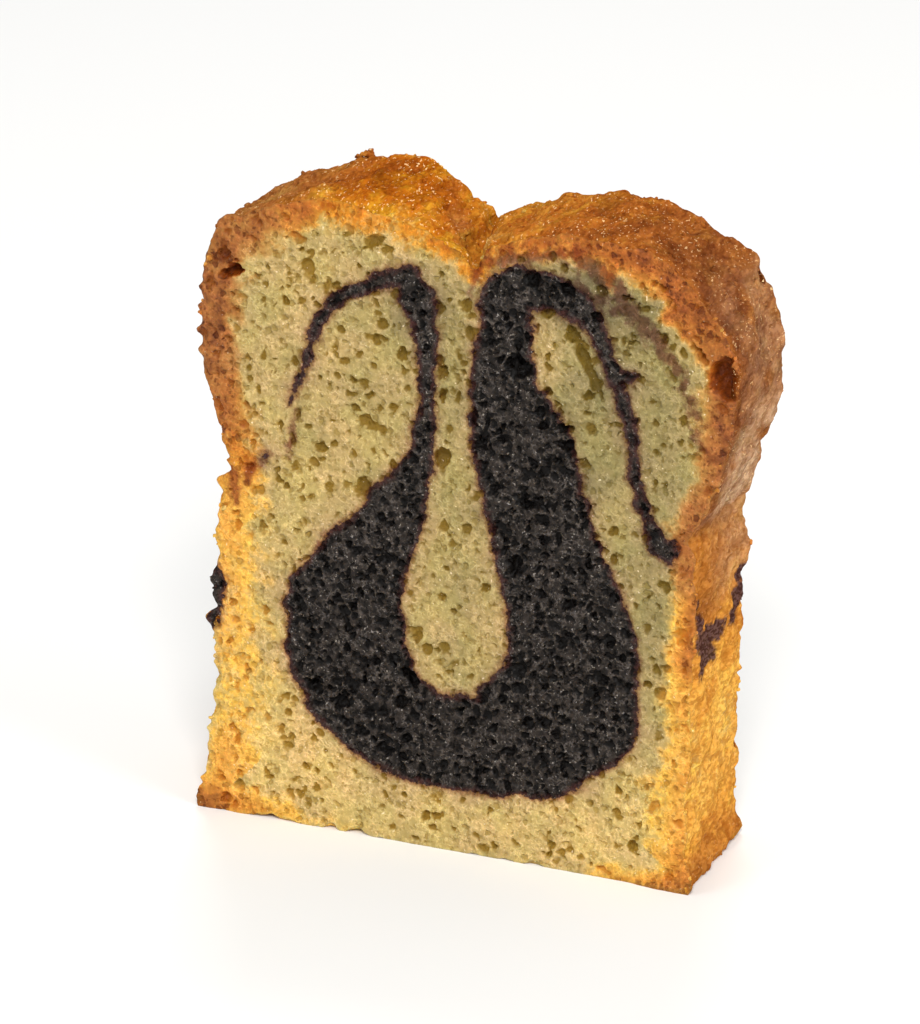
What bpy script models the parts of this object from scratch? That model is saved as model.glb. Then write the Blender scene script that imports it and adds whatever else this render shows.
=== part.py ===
"""A thick slice of marble loaf cake, standing on its foot.

The slice is one solid. A cut across the loaf gives its outline: straight walls as high as the tin,
a crease where the batter rose over the rim, an overhanging crown on each side, and a top that split
into two lobes. The solid is lofted from the front cut face to the back one, with the crust's swells.
The cut faces look along -Y and +Y, the loaf runs along Y, and the origin is at the middle of the foot.
"""

import math

import bmesh
import bpy
from mathutils import Vector

MM = 0.001

SLICE_THICKNESS = 24.0 * MM
STATIONS = 13  # sections along the loaf, with both cut faces
POINTS_PER_SIDE = 88  # from a foot corner up to the split
POINTS_ON_FOOT = 28

FOOT_LEFT = -43.2
FOOT_RIGHT = 36.8
SPLIT_HEIGHT = 94.6

# Half outlines in millimetres, (across, up), from the foot up to the split in the top.
FRONT_LEFT = (
    (FOOT_LEFT, 0.0),
    (-41.6, 13.0),
    (-40.3, 27.0),  # wall
    (-40.0, 42.0),
    (-39.5, 53.5),
    (-37.6, 57.6),  # crease left by the rim
    (-38.3, 61.0),
    (-40.7, 69.0),
    (-42.3, 81.0),  # widest part of the crown
    (-40.9, 91.5),
    (-37.4, 96.8),  # shoulder
    (-28.0, 100.4),
    (-17.5, 101.9),  # top of the lobe
    (-7.0, 99.4),
    (1.8, SPLIT_HEIGHT),
)
FRONT_RIGHT = (
    (FOOT_RIGHT, 0.0),
    (37.2, 20.0),
    (37.4, 42.0),  # wall
    (37.7, 52.0),
    (36.6, 55.8),  # crease
    (38.6, 60.5),
    (41.6, 69.5),
    (43.6, 80.5),  # widest part of the crown
    (42.2, 87.2),
    (38.4, 93.4),  # shoulder
    (31.0, 99.2),
    (21.5, 101.7),  # top of the lobe
    (13.0, 100.9),
    (5.5, 98.0),
    (1.8, SPLIT_HEIGHT),
)
BACK_LEFT = (
    (FOOT_LEFT, 0.0),
    (-41.4, 14.0),
    (-40.4, 28.0),
    (-40.1, 43.0),
    (-39.8, 52.0),
    (-38.1, 56.0),
    (-38.9, 60.0),
    (-41.2, 68.0),
    (-42.8, 79.0),
    (-41.9, 89.5),
    (-38.2, 94.9),
    (-28.4, 100.2),
    (-17.0, 102.2),
    (-10.0, 99.3),
    (-3.7, SPLIT_HEIGHT),
)
BACK_RIGHT = (
    (FOOT_RIGHT, 0.0),
    (36.4, 20.0),
    (36.7, 42.0),
    (37.0, 50.5),
    (36.0, 53.8),
    (37.7, 59.0),
    (40.8, 69.0),
    (42.3, 77.0),
    (41.0, 86.0),
    (37.0, 94.0),
    (30.5, 97.6),
    (19.0, 101.0),
    (9.5, 99.6),
    (2.5, 97.0),
    (-3.7, SPLIT_HEIGHT),
)

SWELL_TOP = 0.7  # how far the crust's lumps stand out, in millimetres
SWELL_WALL = 0.25
SWELL_FADE = 8.0  # height over which the lumps grow, so that the foot stays flat
SWELL_RISE = (50.0, 75.0)  # heights between which the wall's lumps grow into the crown's
# Each wave of the lumps: along the outline (per mm), along the loaf (per mm), phase, share.
WAVES = (
    (0.31, 0.17, 0.4, 0.40),
    (0.19, -0.36, 2.1, 0.35),
    (0.56, 0.29, 4.4, 0.25),
)

CAKE_COLOUR = (0.62, 0.33, 0.10, 1.0)
CAKE_ROUGHNESS = 0.7


def smoothstep(value, start, end):
    share = min(max((value - start) / (end - start), 0.0), 1.0)
    return share * share * (3.0 - 2.0 * share)


def spline_point(before, start, end, after, share):
    """A point of the Catmull-Rom curve between start and end."""
    square = share * share
    cube = square * share
    return 0.5 * (
        2.0 * start
        + (end - before) * share
        + (2.0 * before - 5.0 * start + 4.0 * end - after) * square
        + (3.0 * start - before - 3.0 * end + after) * cube
    )


def smooth_outline(points, count):
    """Evenly spaced points along a smooth curve through the given ones, both ends included."""
    knots = [Vector(point) for point in points]
    knots = [2.0 * knots[0] - knots[1], *knots, 2.0 * knots[-1] - knots[-2]]
    steps = 12
    fine = [
        spline_point(*knots[i : i + 4], step / steps)
        for i in range(len(knots) - 3)
        for step in range(steps)
    ]
    fine.append(knots[-2])
    lengths = [0.0]
    for start, end in zip(fine, fine[1:]):
        lengths.append(lengths[-1] + (end - start).length)
    even = []
    piece = 0
    for i in range(count):
        wanted = lengths[-1] * i / (count - 1)
        while piece < len(fine) - 2 and lengths[piece + 1] < wanted:
            piece += 1
        share = (wanted - lengths[piece]) / (lengths[piece + 1] - lengths[piece])
        even.append(fine[piece].lerp(fine[piece + 1], share))
    return even


def section(left, right):
    """The closed outline of a cut: up the left side, down the right one, and back along the foot."""
    up = smooth_outline(left, POINTS_PER_SIDE)
    down = smooth_outline(right, POINTS_PER_SIDE)[::-1]
    foot = [down[-1].lerp(up[0], i / POINTS_ON_FOOT) for i in range(1, POINTS_ON_FOOT)]
    return up + down[1:] + foot


def swell(run, depth, height):
    """How far the crust stands out at a place: run along the outline, depth along the loaf."""
    wave = sum(
        share * math.sin(along * run + across * depth + phase)
        for along, across, phase, share in WAVES
    )
    crown = smoothstep(height, *SWELL_RISE)
    size = SWELL_WALL + (SWELL_TOP - SWELL_WALL) * crown
    return size * wave * smoothstep(height, 0.0, SWELL_FADE)


def swollen(outline, depth):
    """The outline with the crust's lumps pushed out along its own normal."""
    count = len(outline)
    pushed = []
    run = 0.0
    for i, point in enumerate(outline):
        along = outline[(i + 1) % count] - outline[i - 1]
        outward = Vector((-along.y, along.x)).normalized()
        pushed.append(point + outward * swell(run, depth, point.y))
        run += (outline[(i + 1) % count] - point).length
    return pushed


def slice_mesh():
    front = section(FRONT_LEFT, FRONT_RIGHT)
    back = section(BACK_LEFT, BACK_RIGHT)
    mesh = bmesh.new()
    rings = []
    for station in range(STATIONS):
        share = station / (STATIONS - 1)
        depth = SLICE_THICKNESS * (share - 0.5)
        outline = [a.lerp(b, share) for a, b in zip(front, back)]
        ring = swollen(outline, depth / MM)
        rings.append([mesh.verts.new((p.x * MM, depth, max(p.y, 0.0) * MM)) for p in ring])
    for near, far in zip(rings, rings[1:]):
        for i in range(len(near)):
            mesh.faces.new((near[i - 1], near[i], far[i], far[i - 1]))
    mesh.faces.new(rings[0])
    mesh.faces.new(rings[-1][::-1])
    bmesh.ops.recalc_face_normals(mesh, faces=mesh.faces)
    across = [vert.co.x for vert in mesh.verts]
    middle = (min(across) + max(across)) / 2.0
    bmesh.ops.translate(mesh, verts=mesh.verts, vec=(-middle, 0.0, 0.0))
    return mesh


def cake_material():
    material = bpy.data.materials.new("baked_cake")
    material.use_nodes = True
    surface = material.node_tree.nodes["Principled BSDF"]
    surface.inputs["Base Color"].default_value = CAKE_COLOUR
    surface.inputs["Roughness"].default_value = CAKE_ROUGHNESS
    surface.inputs["Metallic"].default_value = 0.0
    return material


def main():
    for old in list(bpy.data.objects):
        bpy.data.objects.remove(old, do_unlink=True)
    collection = bpy.data.collections.new("marble_loaf_cake_slice")
    bpy.context.scene.collection.children.link(collection)

    mesh = bpy.data.meshes.new("cake_slice")
    built = slice_mesh()
    built.to_mesh(mesh)
    built.free()
    mesh.materials.append(cake_material())
    collection.objects.link(bpy.data.objects.new("cake_slice", mesh))


main()
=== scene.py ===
import math

import bmesh
import bpy
import numpy as np
from mathutils import Matrix, Vector
from mathutils.bvhtree import BVHTree
from mathutils.geometry import delaunay_2d_cdt
from mathutils.kdtree import KDTree


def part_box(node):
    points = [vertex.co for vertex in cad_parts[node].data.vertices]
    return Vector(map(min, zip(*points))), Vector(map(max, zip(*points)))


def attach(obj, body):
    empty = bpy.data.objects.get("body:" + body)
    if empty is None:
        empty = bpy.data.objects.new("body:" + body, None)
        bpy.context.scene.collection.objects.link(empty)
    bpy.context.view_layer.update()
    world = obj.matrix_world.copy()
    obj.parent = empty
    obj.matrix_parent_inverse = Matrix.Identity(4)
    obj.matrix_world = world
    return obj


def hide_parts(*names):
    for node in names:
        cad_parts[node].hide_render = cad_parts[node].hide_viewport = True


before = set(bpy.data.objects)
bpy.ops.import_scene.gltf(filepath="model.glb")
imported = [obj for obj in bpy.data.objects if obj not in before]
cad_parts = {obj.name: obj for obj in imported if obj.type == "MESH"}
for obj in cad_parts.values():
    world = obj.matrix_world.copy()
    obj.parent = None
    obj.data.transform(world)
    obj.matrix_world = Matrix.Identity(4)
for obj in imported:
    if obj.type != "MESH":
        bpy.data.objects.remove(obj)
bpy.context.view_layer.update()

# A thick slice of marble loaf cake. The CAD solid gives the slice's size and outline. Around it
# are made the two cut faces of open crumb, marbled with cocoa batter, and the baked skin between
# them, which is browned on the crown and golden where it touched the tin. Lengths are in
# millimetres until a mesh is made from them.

MM = 0.001
_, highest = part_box("cake_slice")
CUT = highest.y / MM  # how far each cut face lies from the middle of the slice
TOP = highest.z / MM
FOOT_HEIGHT = 0.05  # lower than this, the skin is the flat sole
FAR = 9.0  # a distance past all that shows, in values stored on a mesh

# --- sizes of the mesh ---------------------------------------------------------------------------

PIVOT = np.array([-2.0, 62.0])  # (across, up): the whole outline is in view from here
TURNS = 2400  # directions in which the CAD skin is sampled
CAST_MARGIN = 0.01  # and how far inside the cut faces
TURN_BLUR = 5.0  # samples over which the CAD skin's facets are smoothed, round the outline
ROW_BLUR = 3.0  # and along the loaf
SKIN_STEP = 0.33  # spacing of the baked skin's grid
CRUMB_STEP = 0.31  # spacing of the points on a cut face
CRUST_THICKNESS = 1.5  # towards the pivot
CRUMB_INSET = 2.2  # how far the crumb's hidden side lies inside the skin
SPLIT_INSET = 2.8  # and how much further it lies under the split
INNER_SHARE = 4  # one hidden point for so many on the skin
CHIP_FADE = 1.1  # how far from a cut face the skin's edge is worn back with the crumb's

# --- the crown -----------------------------------------------------------------------------------

SPLIT_FRONT = 1.6  # where the split in the top meets each cut face
SPLIT_BACK = -3.9
SPLIT_MIDDLE = (SPLIT_FRONT + SPLIT_BACK) / 2.0
CREASE_HEIGHT = 56.5  # the line that the tin's rim left
ALONG_SHARE = 0.5  # the skin's lumps are drawn out along the loaf by this

# --- cocoa batter: strokes of (across, up, half width) on the front cut face ---------------------

HOOK = (
    (-28, 68.5, 0.2), (-27.2, 71, 0.5), (-25.8, 74, 0.6), (-24.7, 78, 0.8), (-23.4, 82, 0.9),
    (-21.4, 85.3, 1), (-18.3, 87.6, 1), (-14.5, 89.4, 1.2), (-11, 91, 1.5), (-8.6, 91, 2.2),
    (-7.4, 88.3, 2.9),
)
LEFT_ARM = (
    (-7.4, 88.3, 2.9), (-6.3, 84.5, 2.2), (-5.6, 80.5, 1.7), (-5.6, 76, 1.2), (-5.6, 71.5, 1.3),
    (-6.1, 67, 1.8), (-6.9, 62.5, 2.3), (-8.6, 58, 3.4), (-10.8, 53.8, 5), (-13, 49, 5.6),
    (-16.5, 43.5, 7.4), (-19, 36.5, 9.7), (-18.6, 30, 10.1), (-16.5, 25, 9.9), (-12, 20.5, 8.9),
    (-6, 18, 7.8), (0, 17.7, 7.7), (6, 18.8, 8.4), (12, 21.5, 10.5),
)
RIGHT_ARM = (
    (12, 21.5, 10.5), (17.4, 27, 11.3), (18.2, 33, 10.5), (18.2, 38, 10.3), (16.8, 43, 9.8),
    (15, 48, 9), (13.4, 53, 8.6), (12, 58, 8.3), (10.7, 63, 8.2), (9.7, 67, 8.3), (8.2, 71, 7),
    (6.9, 75, 5.8), (6.4, 79.5, 4.9), (6.8, 84, 4.4), (6.8, 88, 4.1), (6.6, 90.8, 3.6),
    (9.5, 92.2, 3.5), (13, 92, 3), (16.5, 91.3, 2.6), (19.3, 90, 2.2), (21, 87.5, 1.6),
    (22.5, 84.5, 1.3), (24.2, 80.5, 1.2), (25.3, 77, 1.1), (26.8, 72.5, 1.1), (27.4, 68.5, 0.8),
    (27.7, 65, 0.9), (28.7, 61.5, 1), (29.8, 58.3, 1), (31, 55.8, 1.6), (32.8, 54.2, 1.7),
)
CORNER_POOL = ((19.0, 24.6, 8.2), (20.6, 25.6, 8.2))
SPUR_HIGH = ((24.6, 80.2, 1.3), (26.6, 80.6, 0.9))
SPUR_LOW = ((32.0, 55.4, 0.8), (33.9, 56.1, 0.4))
WALL_PATCH = (
    (-40.5, 40, 0.6), (-40.3, 38, 1.7), (-40.5, 35.4, 1.1), (-40.7, 33.4, 1), (-41, 31.6, 1.1),
)
DARK_STROKES = (
    HOOK,
    LEFT_ARM,
    RIGHT_ARM,
    CORNER_POOL,
    SPUR_HIGH,
    SPUR_LOW,
    ((-32.2, 59.4, 0.35), (-31.6, 60.0, 0.25)),
)
# Where a little cocoa bled into the pale batter.
FAINT_STROKES = (
    (
        (13.5, 98.4, 0.6), (17.5, 98, 1.3), (21, 96.6, 1.7), (24.6, 93.4, 1.6), (27.2, 90.2, 1.5),
        (30, 87.4, 1.4), (32.6, 84.6, 1.1), (34.6, 81.2, 0.9), (35.8, 78.6, 0.9),
        (37.2, 75.4, 0.8), (38, 71, 0.5),
    ),
    ((1.6, 89.0, 0.2), (1.8, 93.4, 0.6), (4.0, 95.8, 1.0), (8.0, 97.2, 1.2), (13.0, 97.4, 1.0)),
    ((15.0, 94.2, 0.4), (19.5, 93.0, 1.0), (23.5, 90.4, 0.8)),
    ((-26.8, 67.0, 0.4), (-27.5, 63.0, 0.4), (-28.6, 60.4, 0.2)),
    ((-22.5, 46.5, 1.2), (-20.0, 48.5, 0.9)),
    ((-37.2, 52.6, 0.8), (-37.0, 55.6, 1.2), (-34.6, 56.8, 1.0), (-31.8, 59.2, 0.5)),
)

# Larger holes of the front cut face: (across, up, half width, half height, turn, depth).
HOLES = (
    (-14.2, 96.2, 1.6, 1, 35, 1.4), (-15.6, 95.1, 0.8, 0.4, 30, 0.7),
    (-26.5, 95.2, 2, 0.8, -8, 0.9), (-24.9, 91, 1.2, 1.7, 0, 1.2), (-24.2, 88.9, 0.8, 1, 0, 0.8),
    (-21.9, 88, 0.9, 1.8, -25, 0.6), (-37.2, 88.4, 2.3, 0.9, 22, 2.6), (-32, 87, 0.8, 0.6, 0, 0.6),
    (-23.8, 86, 0.5, 0.5, 0, 0.5), (-35.8, 84.6, 1.2, 0.8, 0, 0.6),
    (-36.6, 82.6, 1, 0.3, -20, 0.8), (-9.6, 79.1, 1.2, 1.2, 0, 1.4), (-12.6, 81, 0.9, 0.6, 0, 0.7),
    (-19, 76.7, 1.1, 0.8, 0, 0.8), (-17.6, 74, 0.8, 0.6, 0, 0.9), (-15.9, 73.5, 1, 0.8, 20, 0.8),
    (-18, 71.8, 1.2, 0.7, 0, 0.7), (-17.2, 69.7, 1.1, 0.5, 0, 0.9),
    (-15.2, 67.6, 1.9, 1.2, -20, 1.1), (-12.8, 66.8, 1.2, 0.8, 10, 0.8),
    (-30.5, 75.2, 0.7, 0.4, 0, 0.7), (-27, 76, 0.5, 0.4, 0, 0.5), (-35, 67.3, 0.6, 0.9, 10, 1),
    (-35.3, 64.8, 0.4, 0.4, 0, 0.5), (-26.7, 66.9, 0.5, 1.2, -20, 1.1),
    (-27.4, 62.7, 0.5, 1, -10, 0.8), (-3, 77.3, 0.9, 1.3, -10, 1.6),
    (-3.3, 73.3, 0.7, 1.3, 0, 1.7), (-0.7, 73.5, 0.6, 1.1, 0, 1), (-3.1, 63.8, 1.4, 1.7, -15, 1.9),
    (0.7, 88.3, 1.2, 1.2, 0, 1.1), (1.2, 84, 0.9, 1.5, 0, 1), (-0.6, 80, 0.5, 0.8, 0, 0.8),
    (-24, 60, 1.2, 0.9, 0, 0.8), (-23.6, 62.5, 0.6, 1, 0, 0.6), (-17.3, 62.2, 0.6, 1.1, 0, 0.6),
    (-15.8, 57.1, 1.4, 1.7, -15, 1.6), (-18.6, 57.2, 0.9, 0.6, 0, 0.5),
    (-21.5, 56.4, 0.7, 1.4, 10, 0.7), (-33.3, 54, 1.6, 0.8, 20, 0.9),
    (-24.5, 54.2, 0.8, 0.6, 30, 0.6), (-18.3, 50.8, 1, 0.4, 0, 0.9),
    (-32.6, 48.4, 0.6, 1, -30, 0.7), (-27.4, 42, 0.5, 0.9, -25, 0.8),
    (-28, 12.9, 0.8, 0.7, 0, 0.8), (-37, 12.6, 0.6, 1.3, 0, 1), (-37.4, 9, 0.4, 1, 0, 0.7),
    (-36.6, 4.6, 0.9, 1.1, 0, 0.9), (-24, 23.4, 1.5, 1.2, -20, 1.8),
    (-8.2, 27.6, 1.9, 1, -42, 2.2), (-12.3, 15, 2, 0.9, 0, 1.6), (-7.2, 35.6, 1.7, 0.6, 0, 0.7),
    (-2.4, 33.3, 1.3, 1, 0, 0.6), (-4.9, 33, 0.6, 0.4, 0, 0.9), (-12.4, 46, 1, 0.7, 0, 1),
    (-17, 46.8, 0.9, 0.6, 0, 0.9), (8.7, 48.2, 1.1, 2.1, 0, 1.8), (23, 32.2, 1.3, 0.8, 0, 1.2),
    (24.5, 51.8, 0.6, 0.8, 0, 1.1), (25.8, 47.8, 0.5, 0.5, 0, 0.9), (23, 53, 0.8, 0.6, 0, 0.6),
    (33.5, 38.3, 0.4, 0.3, 0, 0.6), (30, 41.5, 0.9, 1.1, 0, 0.6), (36.3, 31.5, 0.6, 0.5, 0, 0.6),
    (36.5, 26.6, 0.4, 1.1, 35, 0.6), (34.3, 20.6, 0.4, 0.7, -15, 0.6),
    (31.3, 12.6, 0.6, 1.2, -25, 0.8), (29.2, 9.6, 0.4, 0.9, -40, 0.7),
    (15.8, 9.7, 0.8, 0.6, 0, 0.6), (18, 12, 1.1, 1, 0, 0.6), (21.5, 12, 0.9, 0.9, 0, 0.5),
    (14.6, 2.3, 1, 0.6, 20, 1), (18.1, 3.6, 1, 0.6, 20, 0.7), (26, 5.6, 1, 0.4, 35, 0.5),
    (24.2, 0.9, 1, 0.5, 0, 0.7), (30.8, 16.5, 0.8, 0.4, 0, 0.5), (-27, 7.4, 0.9, 0.5, 25, 0.6),
    (13.4, 88.8, 1.3, 0.8, 0, 1.6), (11, 93.6, 1.5, 1.6, -35, 1.7), (16.4, 93, 1.8, 0.9, -30, 1.8),
    (9, 79.8, 2, 1.9, 0, 2.6), (21.4, 89.4, 1.2, 0.9, -30, 1.6), (17.4, 86, 1.4, 1.5, 0, 1.6),
    (19.2, 82.6, 1.1, 3, 26, 1.6), (21, 79.2, 0.9, 3.2, 26, 1.2), (13.7, 76.6, 0.9, 0.8, 0, 1.3),
    (15.2, 74.9, 1, 0.4, -20, 0.9), (16.6, 71.3, 1.6, 0.7, 8, 1.9), (20.5, 71.9, 0.9, 1.3, 0, 0.6),
    (23, 69.4, 0.8, 0.8, 0, 0.4), (17, 68.2, 1.4, 1.2, -30, 2), (13, 71.2, 1.2, 0.7, 0, 1.4),
    (1.9, 70.6, 0.8, 1.9, 0, 1.7), (3.2, 67, 0.7, 1.5, 25, 1.5), (5.8, 60.5, 1.2, 0.8, 0, 1),
    (10.4, 58.4, 2, 0.8, 0, 1.4), (26, 93, 1.3, 0.4, 0, 1.1), (28.9, 91.6, 0.7, 0.6, 0, 0.9),
    (26.2, 80.6, 1, 0.6, 0, 0.9), (37.2, 85.9, 0.6, 2, 45, 1.6), (41.3, 82.2, 2.2, 3.5, 22, 3.4),
    (33, 86.2, 0.7, 0.4, 0, 0.7), (41, 77.9, 0.8, 0.9, 0, 0.8), (9.5, 31.8, 1.2, 1, 0, 1.2),
    (17, 43.5, 1, 0.8, 0, 1), (14, 24, 1.1, 0.7, 0, 1.1), (8, 18, 1.4, 0.7, 15, 1.2),
    (-18.5, 30.5, 0.9, 0.8, 0, 1), (-25, 33.5, 1, 0.8, 0, 1), (-19, 18.6, 0.9, 0.8, 0, 1.1),
    (2, 22, 1, 0.6, 0, 0.9),
)

# Bites (negative) and nubs of the front's left edge and foot: (across, up, reach, size).
EDGE_MARKS = (
    (-40, 52.3, 1.3, -1.2), (-39.4, 54.2, 1, 1), (-40.3, 16.6, 1.3, -2.4), (-41.8, 13.4, 0.9, 0.5),
    (-41.2, 24.6, 1, 1.2), (-40.8, 27, 1.8, 0.5), (-40.8, 19.9, 1.3, 0.3), (-43, 1.2, 2.8, 1.2),
    (-42.9, 4.6, 0.5, 0.5), (-42.2, 85.2, 0.7, 0.7), (-42.2, 81.8, 0.9, 0.9),
    (-42.5, 78.2, 0.8, 1), (-42.3, 75.2, 0.8, 0.9), (-38.4, 61.5, 2.6, 1.1),
    (-37.6, 57.6, 0.8, 0.9), (-39.4, 95.6, 3, 0.9), (-37.6, 97.8, 2, 0.8), (-39.8, 45, 1.3, 0.4),
    (-40.3, 37.8, 2.6, 1.1), (-40.3, 35.4, 0.9, 0.5), (-40.3, 32, 1.4, 1.6), (-30, 0, 3, -0.5),
    (-25.4, 0, 1, 0.6), (-21, 0, 1.6, -1.2), (-19.6, 0, 0.8, 0.7), (-17, 0, 1.5, -1),
    (-7, 0, 6, 0.5), (8, 0, 2, -0.4), (12.6, 0, 1.6, -1.4), (25, 0, 8, 0.5), (36.6, 1.2, 2, 1),
    (37.2, 29.5, 1, -0.3),
)


# --- small tools ---------------------------------------------------------------------------------


def smoothstep(value, start, end):
    """0 before the start and 1 past the end, with an easy curve between them."""
    share = np.clip((value - start) / (end - start), 0.0, 1.0)
    return share * share * (3.0 - 2.0 * share)


def waves(points, length, seed, count=22):
    """A smooth random field of about -1 to 1, with swells of about this length."""
    rng = np.random.default_rng(seed)
    ways = rng.normal(size=(count, points.shape[1]))
    ways /= np.linalg.norm(ways, axis=1, keepdims=True)
    ways *= 2.0 * np.pi / length * rng.uniform(0.65, 1.5, (count, 1))
    phases = rng.uniform(0.0, 2.0 * np.pi, count)
    return np.cos(points @ ways.T + phases).sum(axis=1) / math.sqrt(count)


def smoothed(rows, spread, axis, closed):
    """Rows smoothed by a bell curve this many samples wide, round a ring or between ends."""
    reach = int(3 * spread) + 1
    bell = np.exp(-0.5 * (np.arange(-reach, reach + 1) / spread) ** 2)
    bell /= bell.sum()
    pad = [(0, 0)] * rows.ndim
    pad[axis] = (reach, reach)
    wide = np.pad(rows, pad, mode="wrap" if closed else "edge")
    return np.apply_along_axis(lambda line: np.convolve(line, bell, mode="valid"), axis, wide)


def tree_of(points):
    """A search tree of points in space."""
    tree = KDTree(len(points))
    for i, point in enumerate(points):
        tree.insert(point, i)
    tree.balance()
    return tree


def stamped(points, tree, centres, reaches, sizes, power=2.0):
    """The tallest of many small domes, each round a centre, at every point."""
    height = np.zeros(len(points))
    for centre, reach, size in zip(centres, reaches, sizes):
        found = tree.find_range(centre, reach)
        if not found:
            continue
        near = np.array([hit[1] for hit in found])
        away = np.array([hit[2] for hit in found]) / reach
        height[near] = np.maximum(height[near], size * (1.0 - away**power))
    return height


def stroke_distance(points, strokes):
    """Distance to the nearest edge of some tapering strokes, negative inside them."""
    nearest = np.full(len(points), 1e3)
    for stroke in strokes:
        marks = np.array(stroke)
        for start, end in zip(marks, marks[1:]):
            along = end[:2] - start[:2]
            share = (points - start[:2]) @ along / max(along @ along, 1e-9)
            share = np.clip(share, 0.0, 1.0)[:, None]
            middle = start[:2] + share * along
            width = start[2] + share[:, 0] * (end[2] - start[2])
            away = np.linalg.norm(points - middle, axis=1) - width
            nearest = np.minimum(nearest, away)
    return nearest


# --- the skin, from the CAD solid ----------------------------------------------------------------


def cast_radii(node, depths):
    """How far the CAD skin lies from the pivot line, at each depth and in each direction."""
    corners = [vert.co for vert in node.data.vertices]
    tree = BVHTree.FromPolygons(corners, [face.vertices for face in node.data.polygons])
    turns = np.arange(TURNS) * 2.0 * np.pi / TURNS
    radii = np.empty((len(depths), TURNS))
    for row, depth in enumerate(depths):
        inside = np.clip(depth, CAST_MARGIN - CUT, CUT - CAST_MARGIN)
        start = Vector((PIVOT[0], inside, PIVOT[1])) * MM
        for column, turn in enumerate(turns):
            way = Vector((-math.sin(turn), 0.0, -math.cos(turn)))
            radii[row, column] = tree.ray_cast(start, way)[3] / MM
    radii = smoothed(radii, TURN_BLUR, 1, True)
    radii = smoothed(radii, ROW_BLUR, 0, False)
    return turns, radii


class Skin:
    """The slice's outer skin as a grid: rows along the loaf, columns round the outline.

    Columns start in the middle of the foot and run up the left side, over the top and down the
    right.
    """

    def __init__(self, node):
        rows = round(2.0 * CUT / SKIN_STEP) + 1
        self.depths = np.linspace(-CUT, CUT, rows)
        turns, radii = cast_radii(node, self.depths)
        middle = radii.mean(axis=0)
        ways = np.stack([-np.sin(turns), -np.cos(turns)], axis=1)
        ring = ways * middle[:, None]
        lengths = np.linalg.norm(np.roll(ring, -1, axis=0) - ring, axis=1)
        run = np.concatenate([[0.0], np.cumsum(lengths)])
        self.columns = INNER_SHARE * round(run[-1] / SKIN_STEP / INNER_SHARE)
        self.run = np.arange(self.columns) * run[-1] / self.columns
        whole_turns = np.append(turns, 2.0 * np.pi)
        self.turns = np.interp(self.run, run, whole_turns)
        self.ways = np.stack([-np.sin(self.turns), -np.cos(self.turns)], axis=1)
        reach = [np.interp(self.turns, whole_turns, np.append(row, row[0])) for row in radii]
        flat = PIVOT + self.ways[None] * np.array(reach)[:, :, None]
        flat[:, :, 1] = np.maximum(flat[:, :, 1], 0.0)
        self.flat = flat
        along = np.roll(flat, -2, axis=1) - np.roll(flat, 2, axis=1)
        outward = np.stack([-along[:, :, 1], along[:, :, 0]], axis=2)
        self.outward = outward / np.linalg.norm(outward, axis=2, keepdims=True)
        self.points = self.in_space(flat)
        self.tree = tree_of(self.points.reshape(-1, 3))

    def in_space(self, flat):
        """Points of the grid, given as (across, up), at their depths along the loaf."""
        depth = np.broadcast_to(self.depths[:, None], flat.shape[:2])
        return np.stack([flat[:, :, 0], depth, flat[:, :, 1]], axis=2)

    def inset(self, thickness):
        """How far towards the pivot a hidden wall lies, with more under the split."""
        top = self.flat.mean(axis=0)
        under = np.exp(-(((top[:, 0] - SPLIT_MIDDLE) / 6.0) ** 2)) * (top[:, 1] > PIVOT[1])
        return thickness + SPLIT_INSET * under


def split_place(points):
    """Where the split runs, across the loaf, at each point's depth."""
    share = (points[:, 1] + CUT) / (2.0 * CUT)
    wander = 0.5 * waves(points[:, 1:2], 9.0, 31, 6)
    return SPLIT_FRONT + share * (SPLIT_BACK - SPLIT_FRONT) + wander * share * (1 - share) * 4.0


def edge_rags(skin, row, seed):
    """How ragged the outline is at a cut face, outwards."""
    points = skin.points[row]
    height = points[:, 2]
    patchy = smoothstep(waves(points, 8.0, seed + 3), -0.9, 0.9)
    patchy *= 1.0 - 0.45 * smoothstep(height, 58.0, 66.0)
    torn = 0.22 * waves(points, 6.5, seed) + (0.02 + 0.13 * patchy) * waves(points, 2.6, seed + 1)
    torn += 0.09 * patchy * waves(points, 1.1, seed + 2)
    top = smoothstep(height, 88.0, 96.0)
    upright = smoothstep(np.abs(skin.outward[row, :, 0]), 0.5, 0.8)
    torn = np.clip(torn * (1.0 - 0.35 * top) + 0.08 + 0.35 * upright, -0.7, 0.95)
    torn = np.where(height < FOOT_HEIGHT, np.minimum(torn * 1.3, 0.0), torn)
    if row == 0:
        for across, up, reach, size in EDGE_MARKS:
            away = np.hypot(points[:, 0] - across, height - up) / reach
            torn = torn + size * np.exp(-(away**2) * 1.4)
    return torn


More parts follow.
